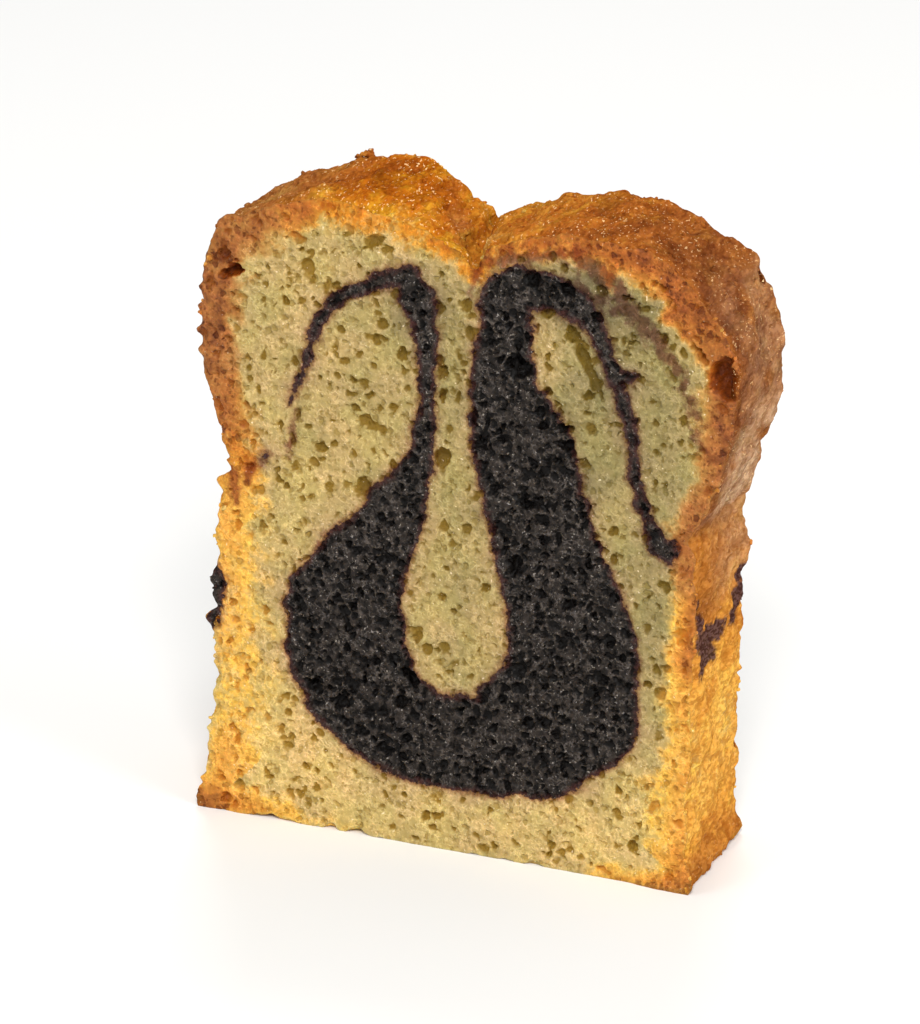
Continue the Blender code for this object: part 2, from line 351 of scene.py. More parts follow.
# Swells (positive) and hollows of the skin near the back: (across, depth, up, reach, size).
SKIN_MARKS = (
    (-36, 11, 97.3, 4, -1), (-22.3, 11.5, 102, 2.2, -1), (-12.8, 11.5, 101.4, 1.4, -0.5),
    (-13.7, 11, 101.9, 4, 0.4), (-9.8, 11, 98.9, 2.6, 0.8), (-7.4, 11.5, 97.1, 1.3, -0.8),
    (-4.5, 11.5, 94.2, 1.4, 2.2), (8.6, 11, 99.5, 3, 0.8), (14, 11.5, 101, 1.6, -0.5),
    (17.5, 11.5, 101.6, 1.4, -0.5), (24.2, 11, 99.9, 3, 1), (29.4, 11, 98, 3, 1.1),
    (32.6, 11.5, 96.7, 1.6, -0.7), (38.8, 11, 90.8, 3.4, -1.5), (42, 11, 81.8, 2.6, 0.8),
    (41.7, 11, 74, 2.2, 0.5), (39.2, 11.5, 65, 1.6, -0.6), (36.4, 11.5, 56.4, 3.2, 0.8),
    (36.4, 11.5, 48.6, 2, 0.5), (36.3, 11.5, 45.2, 2.6, 0.9), (36.6, 11.5, 42.4, 0.9, -0.8),
    (36.3, 11.8, 27.6, 0.9, 1.2), (36.2, 11.5, 23, 2.2, 0.4), (36, 11.5, 15.2, 1.6, -1),
    (36, 11.5, 12.5, 1, 0.5), (36.3, 11.5, 3.6, 1.1, -0.9),
)


def edge_chips(skin, row):
    """How far the crumb is worn back from the knife's plane along the outline."""
    points = skin.points[row]
    top = smoothstep(points[:, 2], 84.0, 94.0)
    foot = smoothstep(points[:, 2], 4.0, 0.5)
    wall = (1.0 - top) * (1.0 - foot)
    chip = 0.26 + 0.20 * top + 0.28 * wall
    chip = chip + 0.16 * waves(points, 1.9, 91) + 0.20 * waves(points, 5.0, 92)
    chip = np.clip(chip, 0.05, 1.1)
    corner = np.exp(-(((points[:, 0] - 35.0) / 6.0) ** 2) - (points[:, 2] / 5.0) ** 2)
    return chip * (1.0 - 0.7 * foot) - 0.9 * corner * (row == 0)


RELIEF_SEED = 11
GRAIN_DOMES = 6500  # small lumps in the skin
PORE_DOMES = 3000


def skin_relief(skin):
    """How far each point of the skin stands out, and how deep it lies in a pore."""
    points = skin.points.reshape(-1, 3)
    outward = skin.outward.reshape(-1, 2)
    across, depth, height = points.T
    crown = smoothstep(height, CREASE_HEIGHT - 1.0, CREASE_HEIGHT + 6.0)
    upward = smoothstep(outward[:, 1], 0.15, 0.6) * crown
    side = crown * (1.0 - upward)
    wall = 1.0 - crown
    foot = (height < FOOT_HEIGHT).astype(float)

    drawn = points * (1.0, ALONG_SHARE, 1.0)
    relief = upward * (0.34 * waves(drawn, 7.0, 1) + 0.18 * waves(drawn, 3.2, 2))
    relief += side * (0.34 * waves(drawn, 8.0, 3) + 0.20 * waves(drawn, 3.4, 4))
    relief += wall * (0.22 * waves(drawn, 5.0, 5) + 0.16 * waves(drawn, 2.4, 6))
    relief += 0.07 * waves(drawn, 1.3, 7, 30) + 0.04 * waves(drawn, 0.8, 8, 30)
    relief += wall * 1.3 * np.exp(-((height / 3.4) ** 2)) * smoothstep(across, 0.0, 30.0)

    rng = np.random.default_rng(RELIEF_SEED)
    chosen = rng.integers(0, len(points), GRAIN_DOMES)
    reach = rng.uniform(0.5, 1.5, GRAIN_DOMES)
    grain_share = upward[chosen] + 0.25 * side[chosen] + 0.35 * wall[chosen]
    relief += stamped(points, skin.tree, points[chosen], reach, 0.30 * reach * grain_share)

    chosen = rng.integers(0, len(points), PORE_DOMES)
    reach = rng.uniform(0.35, 0.9, PORE_DOMES) * (1.0 + (rng.random(PORE_DOMES) < 0.08))
    pore_share = 0.45 * wall[chosen] + 0.25 * crown[chosen]
    pores = stamped(points, skin.tree, points[chosen], reach, 0.62 * reach * pore_share, 3.0)
    relief -= pores

    split = across - split_place(points)
    on_top = smoothstep(height, 88.0, 92.0)
    groove = 1.5 * np.exp(-((split / 0.8) ** 2))
    groove += 1.4 * np.exp(-((split / 1.7) ** 2) - ((depth + 5.0) / 3.4) ** 2)
    lip = 0.9 * np.exp(-(((split - 2.6) / 1.4) ** 2)) * smoothstep(depth, 8.0, -6.0)
    lip += 0.4 * np.exp(-(((split + 3.0) / 1.8) ** 2))
    relief += on_top * (lip - groove)

    crease = np.exp(-(((height - CREASE_HEIGHT - 0.6 * waves(points, 12.0, 12)) / 0.7) ** 2))
    relief -= 0.55 * crease
    for *place, reach, size in SKIN_MARKS:
        away = np.linalg.norm(points - place, axis=1) / reach
        relief += size * np.exp(-1.4 * away**2)

    relief = relief.reshape(skin.points.shape[:2])
    grid_depth = np.abs(skin.depths)[:, None]
    near_cut = np.exp(-(CUT - grid_depth) / 0.7)
    rags = np.zeros_like(relief)
    rags += edge_rags(skin, 0, 41)[None] * (skin.depths[:, None] < 0)
    rags += edge_rags(skin, -1, 51)[None] * (skin.depths[:, None] > 0)
    rounding = 0.45 * np.exp(-(CUT - grid_depth) / 0.9) * (1.0 - foot.reshape(relief.shape))
    relief = relief * (1.0 - 0.35 * near_cut) + rags * near_cut - rounding
    sole = foot.reshape(relief.shape) > 0
    relief = np.where(sole, np.minimum(relief, 0.0), relief)
    return relief, pores.reshape(relief.shape)


# How the oven browned the crown across the loaf: (across, browning, how toasted).
TOP_BROWNING = (
    (-44, 0.54, 0.9), (-34, 0.48, 1), (-28, 0.46, 0.6), (-20, 0.46, 0), (-12, 0.43, 0),
    (-5, 0.36, 0.05), (1, 0.3, 0.2), (6, 0.33, 0.3), (12, 0.38, 0.3), (18, 0.5, 0.3),
    (26, 0.56, 0.5), (34, 0.6, 0.8), (44, 0.58, 1),
)
# And how it browned the walls that the tin held: (up, browning). Its rise towards the crease is
# partly painted shade under the overhanging crown.
WALL_BROWNING = (
    (0, 0.52), (3, 0.48), (8, 0.36), (16, 0.22), (26, 0.28), (36, 0.38), (46, 0.5), (57, 0.54),
)
# The soft rosy tone of the crown's sides, by height and by depth: (millimetres, share).
ROSY_UP = (
    (56, 0.6), (60, 1), (65, 1), (70, 0.75), (76, 0.35), (84, 0.25), (92, 0.3), (97, 0.1),
)
ROSY_ALONG = ((-12.0, 0.0), (-9.5, 0.15), (-5.0, 0.75), (0.0, 1.0), (12.0, 1.0))
# Browning at the edge of a cut face, and how far it reaches into the crumb:
# (across, up, browning, how deep it holds, how deep it reaches, how toasted).
RIM_BROWNING = (
    (-38, 59, 0.36, 2.5, 7, 0.2), (-39.5, 65, 0.46, 3, 7.5, 0.7), (-41.5, 76, 0.52, 3.2, 8, 1),
    (-41, 88, 0.54, 3.2, 8, 1), (-34, 97, 0.48, 3, 8, 0.9), (-27, 99.5, 0.38, 2, 7, 0.4),
    (-20, 100.5, 0.3, 0.6, 6, 0), (-9, 99, 0.25, 0.8, 5, 0), (1.6, 93, 0.3, 0.6, 3, 0),
    (8, 97.5, 0.32, 0.5, 4, 0.2), (18, 99.5, 0.5, 0.8, 5, 0.4), (26, 98, 0.52, 2, 6.8, 0.4),
    (35, 93, 0.52, 2.8, 7.5, 0.5), (42, 85, 0.56, 2.4, 7, 0.7), (43.5, 75, 0.6, 1.6, 6.5, 0.9),
    (40, 62, 0.48, 1, 5, 1), (36.5, 52, 0.54, 0.2, 4.6, 0.8), (36, 40, 0.46, 0.4, 5, 0.3),
    (36, 28, 0.29, 0.6, 6, 0), (35.5, 10, 0.27, 1.2, 9.5, 0), (35.5, 0, 0.5, 0.6, 5, 0),
    (29, 0, 0.31, 0.6, 3.8, 0), (15, 0, 0.04, 0.2, 2, 0), (-10, 0, 0.04, 0.2, 2, 0),
    (-22, 0, 0.1, 0.2, 3, 0), (-29, 0, 0.24, 0.8, 5, 0), (-36, 0, 0.34, 1.6, 6, 0),
    (-43, 0, 0.58, 2.4, 8, 0), (-42, 8, 0.25, 4, 14, 0), (-41, 20, 0.18, 3.8, 14, 0),
    (-40.5, 32, 0.19, 3.4, 13, 0), (-40, 46, 0.24, 1.8, 11, 0), (-39.5, 54, 0.32, 2, 9, 0),
)


def rim_browning(rim):
    """The browning at points of the outline: its level, its two depths and how toasted it is."""
    marks = np.array(RIM_BROWNING)
    away = np.linalg.norm(rim[:, None] - marks[None, :, :2], axis=2)
    share = np.exp(-((away - away.min(axis=1, keepdims=True)) / 4.5) ** 2) * np.exp(-away / 2.5)
    share /= share.sum(axis=1, keepdims=True)
    return (share @ marks[:, 2:]).T


def skin_bake(skin):
    """How browned each point of the skin is, how rosy and how toasted."""
    points = skin.points.reshape(-1, 3)
    outward = skin.outward.reshape(-1, 2)
    across, depth, height = points.T
    crown = smoothstep(height, CREASE_HEIGHT - 1.5, CREASE_HEIGHT + 2.5)
    cloud = waves(points * (1.0, ALONG_SHARE, 1.0), 8.0, 21)
    beside = smoothstep(np.abs(outward[:, 0]), 0.55, 0.85)
    top = np.array(TOP_BROWNING).T
    bake_crown = np.interp(across, top[0], top[1]) + 0.05 * cloud
    centre = smoothstep(across, -2.0, -10.0) * smoothstep(across, -33.0, -26.0)
    bake_crown += 0.06 * smoothstep(depth, -7.0, 1.0) * centre
    bake_crown += 0.18 * beside * smoothstep(depth, -5.0, -9.5) * smoothstep(across, 0.0, 30.0)
    bake_crown += 0.05 * smoothstep(across, 24.0, 34.0)
    dry = np.interp(across, top[0], top[2])
    dry += (1.0 - dry) * beside
    wall = np.array(WALL_BROWNING).T
    bake_wall = np.interp(height, wall[0], wall[1]) + 0.04 * cloud
    bake = bake_wall + crown * (bake_crown - bake_wall)
    sole_bake = 0.42 + 0.08 * cloud
    bake = np.where(height < FOOT_HEIGHT, sole_bake, bake)
    shape = skin.points.shape[:2]
    for row, side in ((0, -1.0), (-1, 1.0)):
        level, _, _, toasted = rim_browning(skin.points[row][:, [0, 2]])
        near = np.exp(-(CUT - side * depth) / 2.6)
        bake += near * (np.tile(level, shape[0]) - bake)
        dry += near * (np.tile(toasted, shape[0]) - dry)
    rosy = crown * beside * np.interp(height, *np.array(ROSY_UP).T)
    rosy *= np.interp(depth, *np.array(ROSY_ALONG).T)
    rosy *= smoothstep(waves(points, 9.0, 22), -1.6, -0.2)
    paler = 0.4 * (1.0 - crown) * smoothstep(height, 40.0, 48.0) * smoothstep(depth, -9.0, 4.0)
    rosy = np.maximum(rosy, paler)
    return np.clip(bake, 0.0, 1.0).reshape(shape), rosy.reshape(shape), dry.reshape(shape)


def crown_share(height):
    """0 where the tin held the cake, 1 on the crown that rose above it."""
    return smoothstep(height, CREASE_HEIGHT - 2.0, CREASE_HEIGHT + 3.0)


RIGHT_RISE = 10.0  # at the right, the crumb browned as on the crown from so much lower

# Cocoa batter that reached the tin: (across, depth, up, half length, half height).
WALL_COCOA = (
    (37.4, -10.6, 45.4, 1, 1.4), (37.4, -9.6, 42.4, 1.8, 1.6), (37.4, -9, 39.6, 2.4, 1.6),
    (37.4, -4.8, 38.4, 4.6, 2.3), (37.4, -0.8, 38.4, 3.8, 1.9), (37.4, -5, 36, 4.2, 2),
    (37.4, -7.4, 34.2, 1.9, 1.4), (37.4, 10.6, 43.4, 2.4, 2), (37.4, 9.6, 40.2, 2.8, 2.6),
    (37.4, 7.6, 38.2, 2.6, 1.8), (-40.6, -10.6, 38.6, 4.2, 2.4), (-40.6, -10.6, 36, 3.8, 2.2),
    (-40.6, -10.8, 33.6, 3.4, 2), (-40.6, -10.8, 31.4, 2.8, 1.4), (-40, 5, 24, 3.6, 2.2),
    (-40, 8, 27, 2.4, 1.6),
)


def skin_cocoa(skin):
    """How far each point of the skin lies from cocoa batter, negative inside it."""
    points = skin.points.reshape(-1, 3)
    nearest = np.full(len(points), FAR)
    for across, depth, up, long, tall in WALL_COCOA:
        offset = (points - (across, depth, up)) / (4.0, long, tall)
        nearest = np.minimum(nearest, (np.linalg.norm(offset, axis=1) - 1.0) * min(long, tall))
    nearest += 0.25 * waves(points, 2.4, 23)
    return np.clip(nearest, -FAR, FAR).reshape(skin.points.shape[:2])


# --- meshes --------------------------------------------------------------------------------------


def new_object(name, points, faces, values):
    """A smooth mesh object from points in millimetres, with named values at its points."""
    mesh = bpy.data.meshes.new(name)
    mesh.from_pydata(np.asarray(points) * MM, [], faces)
    mesh.update()
    mesh.polygons.foreach_set("use_smooth", [True] * len(mesh.polygons))
    for label, numbers in values.items():
        layer = mesh.attributes.new(label, "FLOAT", "POINT")
        layer.data.foreach_set("value", np.asarray(numbers, np.float32))
    piece = bpy.data.objects.new(name, mesh)
    bpy.context.scene.collection.objects.link(piece)
    return piece


def make_piece(name, points, faces, sharp, values):
    """A closed mesh object with some sharp edges, the hidden points' values and its map."""
    hidden = np.zeros(len(points) - len(next(iter(values.values()))))
    whole = {
        label: np.concatenate([numbers, hidden + HIDDEN_VALUES.get(label, 0.0)])
        for label, numbers in values.items()
    }
    piece = new_object(name, points, faces.corners, whole)
    mesh = piece.data
    ends = np.empty(len(mesh.edges) * 2, np.int32)
    mesh.edges.foreach_get("vertices", ends)
    on_edge = np.zeros(len(points), bool)
    on_edge[sharp] = True
    hard = mesh.attributes.new("sharp_edge", "BOOLEAN", "EDGE")
    hard.data.foreach_set("value", on_edge[ends.reshape(-1, 2)].all(axis=1))
    sheet = mesh.uv_layers.new(name="OFBake")
    sheet.uv.foreach_set("vector", np.concatenate(faces.layout).astype(np.float32).ravel())
    return piece


def finish_piece(piece, material):
    """Gives a piece its material and its body."""
    piece.data.materials.append(material)
    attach(piece, "root")
    return piece


HIDDEN_VALUES = {"bake": 0.8, "crown": 1.0, "cocoa": FAR, "faint": FAR}
HIDDEN_MAP = (0.93, 0.99)  # the strip of each map that the hidden walls share


class Faces:
    """The faces of a mesh, each with its corners' places on the map."""

    def __init__(self):
        self.corners = []
        self.layout = []

    def add(self, corners, places, turned=False):
        self.corners.append(corners[::-1] if turned else corners)
        self.layout.append(places[::-1] if turned else places)

    def add_all(self, made, turned):
        for corners, places in made:
            self.add(corners, places, turned)


def hidden_layout(count, start, end):
    """A thin strip of the map for a ring of hidden faces."""
    low = HIDDEN_MAP[0] + (HIDDEN_MAP[1] - HIDDEN_MAP[0]) * start
    high = HIDDEN_MAP[0] + (HIDDEN_MAP[1] - HIDDEN_MAP[0]) * end
    return low, high, np.linspace(0.01, 0.99, count + 1)


def ring_faces(near, far, columns, start, end):
    """Quads between two rings of equal count."""
    low, high, edge = hidden_layout(columns, start, end)
    for i in range(columns):
        after = (i + 1) % columns
        a, b = edge[i], edge[i + 1]
        corners = (near + i, near + after, far + after, far + i)
        yield corners, np.array([(low, a), (low, b), (high, b), (high, a)])


def fan_faces(fine, coarse, columns, start, end):
    """Triangles from a fine ring to one with fewer points."""
    low, high, edge = hidden_layout(columns, start, end)
    few = columns // INNER_SHARE
    for i in range(few):
        first = i * INNER_SHARE
        last = first + INNER_SHARE
        middle = first + INNER_SHARE // 2
        for a in range(first, last):
            inner = i if a < middle else (i + 1) % few
            place = first if a < middle else last
            corners = (fine + a, fine + (a + 1) % columns, coarse + inner)
            yield corners, np.array([(low, edge[a]), (low, edge[a + 1]), (high, edge[place])])
        corners = (fine + middle, coarse + (i + 1) % few, coarse + i)
        yield corners, np.array([(low, edge[middle]), (high, edge[last]), (high, edge[first])])


def centre_faces(ring, centre, columns, start, end):
    """Triangles from a ring to the point in its middle."""
    low, high, edge = hidden_layout(columns, start, end)
    for i in range(columns):
        corners = (ring + i, ring + (i + 1) % columns, centre)
        yield corners, np.array([(low, edge[i]), (low, edge[i + 1]), (high, edge[i])])


MAP_STRIPS = 4  # the skin's map is cut into so many strips, one above the other
MAP_MARGIN = 0.01
MAP_WIDTH = HIDDEN_MAP[0] - 3 * MAP_MARGIN  # of what shows
# Hidden rings of the baked skin: (name, depth along the loaf, share of the crust's thickness).
CRUST_RINGS = (
    ("front_lip", -CUT + 0.9, 0.6),
    ("front", -CUT + 1.7, 1.0),
    ("middle_front", -CUT / 2.0, 1.0),
    ("middle", 0.0, 1.0),
    ("middle_back", CUT / 2.0, 1.0),
    ("back", CUT - 1.7, 1.0),
    ("back_lip", CUT - 0.9, 0.6),
)


def shown_crust(rows, columns):
    """The faces of the baked skin that show."""
    strip = columns // MAP_STRIPS
    wide = MAP_WIDTH / strip
    tall = (1.0 / MAP_STRIPS - 2 * MAP_MARGIN) / (rows - 1)
    for row in range(rows - 1):
        near = row * columns
        far = near + columns
        for i in range(columns):
            after = (i + 1) % columns
            band = min(i // strip, MAP_STRIPS - 1)
            left = MAP_MARGIN + (i - band * strip) * wide
            right = left + wide
            low = MAP_MARGIN + band / MAP_STRIPS + row * tall
            high = low + tall
            corners = (near + i, near + after, far + after, far + i)
            yield corners, np.array([(left, low), (right, low), (right, high), (left, high)])


def crust_piece(skin, outer, values):
    """The baked skin as a thin closed shell, which comes to an edge at each cut face."""
    rows, columns = outer.shape[:2]
    few = columns // INNER_SHARE
    points = [outer.reshape(-1, 3)]
    count = rows * columns
    starts = {}
    for name, depth, share in CRUST_RINGS:
        row = int(np.argmin(np.abs(skin.depths - depth)))
        flat = skin.flat[row] - skin.ways * (skin.inset(CRUST_THICKNESS) * share)[:, None]
        if not name.endswith("lip"):
            flat = flat[::INNER_SHARE]
        points.append(np.stack([flat[:, 0], np.full(len(flat), depth), flat[:, 1]], axis=1))
        starts[name] = count
        count += len(flat)

    last = (rows - 1) * columns
    faces = Faces()
    faces.add_all(shown_crust(rows, columns), False)
    faces.add_all(ring_faces(0, starts["front_lip"], columns, 0.00, 0.10), True)
    faces.add_all(fan_faces(starts["front_lip"], starts["front"], columns, 0.12, 0.2), True)
    inner = [starts[name] for name, _, _ in CRUST_RINGS[1:-1]]
    for i, (near, far) in enumerate(zip(inner, inner[1:])):
        faces.add_all(ring_faces(near, far, few, 0.22 + 0.12 * i, 0.32 + 0.12 * i), True)
    faces.add_all(fan_faces(starts["back_lip"], starts["back"], columns, 0.72, 0.8), False)
    faces.add_all(ring_faces(last, starts["back_lip"], columns, 0.85, 0.95), False)

    sharp = np.concatenate([np.arange(columns), last + np.arange(columns)])
    shown = {label: numbers.ravel() for label, numbers in values.items()}
    return make_piece("baked_crust", np.concatenate(points), faces, sharp, shown)


def inside_outline(points, loop):
    """Which points lie inside a closed outline."""
    inside = np.zeros(len(points), bool)
    across, up = points.T
    for start, end in zip(loop, np.roll(loop, -1, axis=0)):
        crosses = (start[1] > up) != (end[1] > up)
        rise = end[1] - start[1]
        if rise == 0.0:
            continue
        place = start[0] + (up - start[1]) * (end[0] - start[0]) / rise
        inside ^= crosses & (across < place)
    return inside


JITTER = 0.22  # how far points of a cut face stray, in steps
EDGE_GAP = 0.6  # and how far they stay from the outline


def face_points(loop, seed):
    """Scattered points that fill an outline evenly, clear of its edge."""
    rng = np.random.default_rng(seed)
    low = loop.min(axis=0)
    high = loop.max(axis=0)
    across = np.arange(low[0], high[0], CRUMB_STEP)
    up = np.arange(low[1], high[1], CRUMB_STEP * math.sqrt(0.75))
    grid = np.stack(np.meshgrid(across, up), axis=2)
    grid[1::2, :, 0] += CRUMB_STEP / 2.0
    points = grid.reshape(-1, 2) + rng.uniform(-JITTER, JITTER, (grid.size // 2, 2)) * CRUMB_STEP
    points = points[inside_outline(points, loop)]
    edge = tree_of(np.column_stack([loop, np.zeros(len(loop))]))
    found = [edge.find((x, z, 0.0)) for x, z in points]
    away = np.array([hit[2] for hit in found])
    nearest = np.array([hit[1] for hit in found])
    clear = away > EDGE_GAP * CRUMB_STEP
    return points[clear], away[clear], nearest[clear]


def hole_depths(points, holes):
    """Depth of the larger holes at each point, with sides as steep as torn crumb."""
    depth = np.zeros(len(points))
    for across, up, wide, tall, turn, deep in holes:
        offset = points - (across, up)
        cosine = math.cos(math.radians(turn))
        sine = math.sin(math.radians(turn))
        along = (offset[:, 0] * cosine + offset[:, 1] * sine) / wide
        over = (offset[:, 1] * cosine - offset[:, 0] * sine) / tall
        away = np.sqrt(along**2 + over**2)
        depth = np.maximum(depth, deep * np.clip(1.0 - away**3, 0.0, 1.0))
    return depth


def foam(points, spacing, wall, depths, seed):
    """Bubbles with walls between them: the depth of the bubble at each point, 0 on a wall."""
    rng = np.random.default_rng(seed)
    low = points.min(axis=0) - 1.0
    high = points.max(axis=0) + 1.0
    count = int(np.prod(high - low) / spacing**2)
    seeds = rng.uniform(low, high, (count, 2))
    tree = tree_of(np.column_stack([seeds, np.zeros(count)]))
    depth = np.zeros(len(points))
    for i, (x, z) in enumerate(points):
        first, second = tree.find_n((x, z, 0.0), 2)
        share = min(max((second[2] - first[2] - wall[0]) / (wall[1] - wall[0]), 0.0), 1.0)
        depth[i] = depths[first[1] % len(depths)] * share * share * (3.0 - 2.0 * share)
    return depth


CELL_KINDS = 997  # depths that the bubbles share out among them
CUT_PORES = 1300


def cut_relief(points, cocoa, holes, seed):
    """Depth of the crumb below the knife's plane at each point, and that of its pores alone."""
    swirl = np.stack([waves(points, 2.2, seed), waves(points, 2.2, seed + 1)], axis=1)
    ripple = np.stack([waves(points, 0.9, seed + 2), waves(points, 0.9, seed + 3)], axis=1)
    bent = points + 0.22 * swirl + 0.10 * ripple
    bent3 = np.column_stack([bent, np.zeros(len(bent))])
    tree = tree_of(bent3)
    rng = np.random.default_rng(seed + 4)

    def cells(share, least, most, rest):
        open_cell = rng.random(CELL_KINDS) < share
        return np.where(open_cell, rng.uniform(least, most, CELL_KINDS), rest)

    dark_cells = cells(0.6, 0.4, 1.1, 0.1)
    small_cells = cells(0.5, 0.15, 0.45, 0.0)
    pale_cells = cells(0.34, 0.12, 0.42, 0.03)
    dark = smoothstep(cocoa, 0.25, -0.25)
    black_foam = foam(bent, 1.2, (0.08, 0.75), dark_cells, seed + 9)
    black_foam = np.maximum(black_foam, foam(bent, 0.75, (0.08, 0.45), small_cells, seed + 11))
    pale_foam = foam(bent, 0.95, (0.08, 0.55), pale_cells, seed + 10)
    pores = dark * black_foam + (1.0 - dark) * pale_foam
    chosen = rng.integers(0, len(points), CUT_PORES)
    reach = np.clip(rng.lognormal(math.log(0.46), 0.36, CUT_PORES), 0.3, 1.1)
    deep = reach * rng.uniform(0.7, 1.4, CUT_PORES)
    pores = np.maximum(pores, stamped(points, tree, bent3[chosen], reach, deep, 3.0))
    pores = np.maximum(pores, hole_depths(bent, holes))
    knife = 0.08 * waves(points, 9.0, seed + 5) + 0.05 * waves(points, 3.0, seed + 6)
    crumbly = (0.03 + 0.04 * dark) * waves(points, 1.1, seed + 7, 30)
    crumbly += (0.02 + 0.03 * dark) * waves(points, 0.7, seed + 8, 30)
    return knife + crumbly + pores, pores


SIDE_HOLE = (43.5, 82.5)  # the outline beside the big hole in the right side of the crown


def side_hole(loop, side):
    """1 along the outline where the front's big hole is, 0 elsewhere."""
    if side > 0:
        return np.zeros(len(loop))
    away = np.hypot(loop[:, 0] - SIDE_HOLE[0], loop[:, 1] - SIDE_HOLE[1])
    return smoothstep(away, 7.5, 4.5)


# Hidden rings of the crumb's plug: (name, depth towards the cut face).
PLUG_RINGS = (("lip", CUT - 1.5), ("deep", CUT - 2.6), ("end", 0.8))
PLUG_END = 0.8
ROOM_SHARE = 0.85 * 1.5  # how deep the relief may go near the outline, clear of the plug's side
EDGE_REACH = 3.5  # and how near that is
HOLLOW_DEPTH = 0.9  # a pore this deep gets the full painted shade of a hole
MAP_FILL = 1.03


def cut_surface(flat, faces, place, back):
    """The triangles of a cut face, turned to look outward."""
    for corners in faces:
        a, b, c = (flat[i] for i in corners)
        clockwise = (b[0] - a[0]) * (c[1] - a[1]) - (b[1] - a[1]) * (c[0] - a[0]) < 0
        corners = corners[::-1] if clockwise != back else corners
        yield corners, place[list(corners)]


def plug_rings(skin, side, deep_side):
    """The rings of the hidden plug behind a cut face, with more room at the side hole."""
    row = 0 if side < 0 else -1
    for label, depth in PLUG_RINGS:
        inset = skin.inset(CRUMB_INSET)
        at = np.full(skin.columns, depth)
        if label == "lip":
            inset = inset * (1.0 - 0.6 * deep_side)
            at -= 0.9 * deep_side
        elif label == "deep":
            at -= 1.6 * deep_side
        ring = skin.flat[row] - skin.ways * inset[:, None]
        ring = np.column_stack([ring[:, 0], side * at, ring[:, 1]])
        yield ring if label == "lip" else ring[::INNER_SHARE]


def crumb_piece(name, skin, outer, side, chip, holes, seed):
    """One cut face with its relief, and a hidden plug of crumb behind it."""
    columns = skin.columns
    back = side > 0
    edge = outer[-1 if back else 0]
    loop = edge[:, [0, 2]]
    inner, away, nearest = face_points(loop, seed)
    flat = np.concatenate([loop, inner])
    links = [(i, (i + 1) % columns) for i in range(columns)]
    made = delaunay_2d_cdt([Vector(point) for point in flat], links, [], 1, 1e-7)
    if len(made[0]) != len(flat):
        raise ValueError(f"{name}: the outline crosses itself")

    cocoa = marbling(flat, side)
    relief, pores = cut_relief(flat, cocoa, holes, seed)
    deep_side = side_hole(loop, side)
    limit = ROOM_SHARE / skin.inset(CRUMB_INSET) * (1.0 + 3.0 * deep_side)
    room = np.concatenate([np.zeros(columns), away * limit[nearest]])
    far = np.concatenate([np.zeros(columns), away])
    relief = np.where(far < EDGE_REACH, np.minimum(relief, room), relief)
    pores = np.minimum(pores, np.where(far < EDGE_REACH, room, FAR))
    relief *= smoothstep(far, 0.0, 0.5)
    around = np.concatenate([np.arange(columns), nearest])
    y = side * (CUT - relief - chip[around] * np.exp(-far / 0.7))
    y[:columns] = edge[:, 1]
    rings = list(plug_rings(skin, side, deep_side))
    centre = np.array([[PIVOT[0], side * PLUG_END, PIVOT[1]]])
    points = np.concatenate([np.column_stack([flat[:, 0], y, flat[:, 1]]), *rings, centre])

    scale = MAP_WIDTH / TOP * MAP_FILL
    place = MAP_MARGIN + (flat - (flat[:, 0].min(), 0.0)) * scale
    place[:, 0] = np.minimum(place[:, 0], HIDDEN_MAP[0] - MAP_MARGIN)
    lip, deep, end, middle = len(flat) + np.cumsum([0] + [len(ring) for ring in rings])
    few = columns // INNER_SHARE
    faces = Faces()
    shown_faces = [tuple(face) for face in made[2]]
    faces.add_all(cut_surface(flat, shown_faces, place, back), False)
    faces.add_all(ring_faces(0, lip, columns, 0.0, 0.2), back)
    faces.add_all(fan_faces(lip, deep, columns, 0.25, 0.45), back)
    faces.add_all(ring_faces(deep, end, few, 0.5, 0.7), back)
    faces.add_all(centre_faces(end, middle, few, 0.75, 0.95), back)

    hollow = np.clip(pores / HOLLOW_DEPTH, 0.0, 1.0)
    bake, dry = crumb_bake(flat, far, loop[around], hollow * (side < 0))
    values = {
        "bake": bake,
        "crown": crown_share(flat[:, 1] + RIGHT_RISE * smoothstep(flat[:, 0], 20.0, 34.0)),
        "dry": dry,
        "cocoa": cocoa,
        "faint": faint_marbling(flat, side),
        "hollow": hollow,
        "tone": crumb_tone(flat, side),
    }
    return make_piece(name, points, faces, np.arange(columns), values)


def drifted(points, side):
    """Where a point of a cut face lies in the front's marbling, as the batter drifts along."""
    if side < 0:
        return points
    drift = np.stack([waves(points, 38.0, 71, 8), waves(points, 38.0, 72, 8)], axis=1)
    return points + 2.6 * drift + (1.5, -1.0)


def marbling(points, side):
    """How far each point of a cut face lies from cocoa batter, negative inside it."""
    bent = drifted(points, side)
    wobble = 0.26 * waves(points, 5.0, 61) + 0.08 * waves(points, 1.6, 62)
    edge = stroke_distance(bent, DARK_STROKES) + wobble
    if side < 0:
        left = stroke_distance(points, (WALL_PATCH,)) + 0.2 * waves(points, 1.4, 64)
        edge = np.minimum(edge, left)
    return np.clip(edge, -FAR, FAR)


def faint_marbling(points, side):
    """The same for the places where a little cocoa bled."""
    edge = stroke_distance(drifted(points, side), FAINT_STROKES) + 0.6 * waves(points, 2.6, 63)
    return np.clip(edge, -FAR, FAR)


# Holes whose walls the oven reached: (across, up, reach).
BAKED_HOLES = ((41.4, 82.2, 3.2), (-37.4, 88.4, 2.6))
BAKED_HOLE_HEAT = 0.74


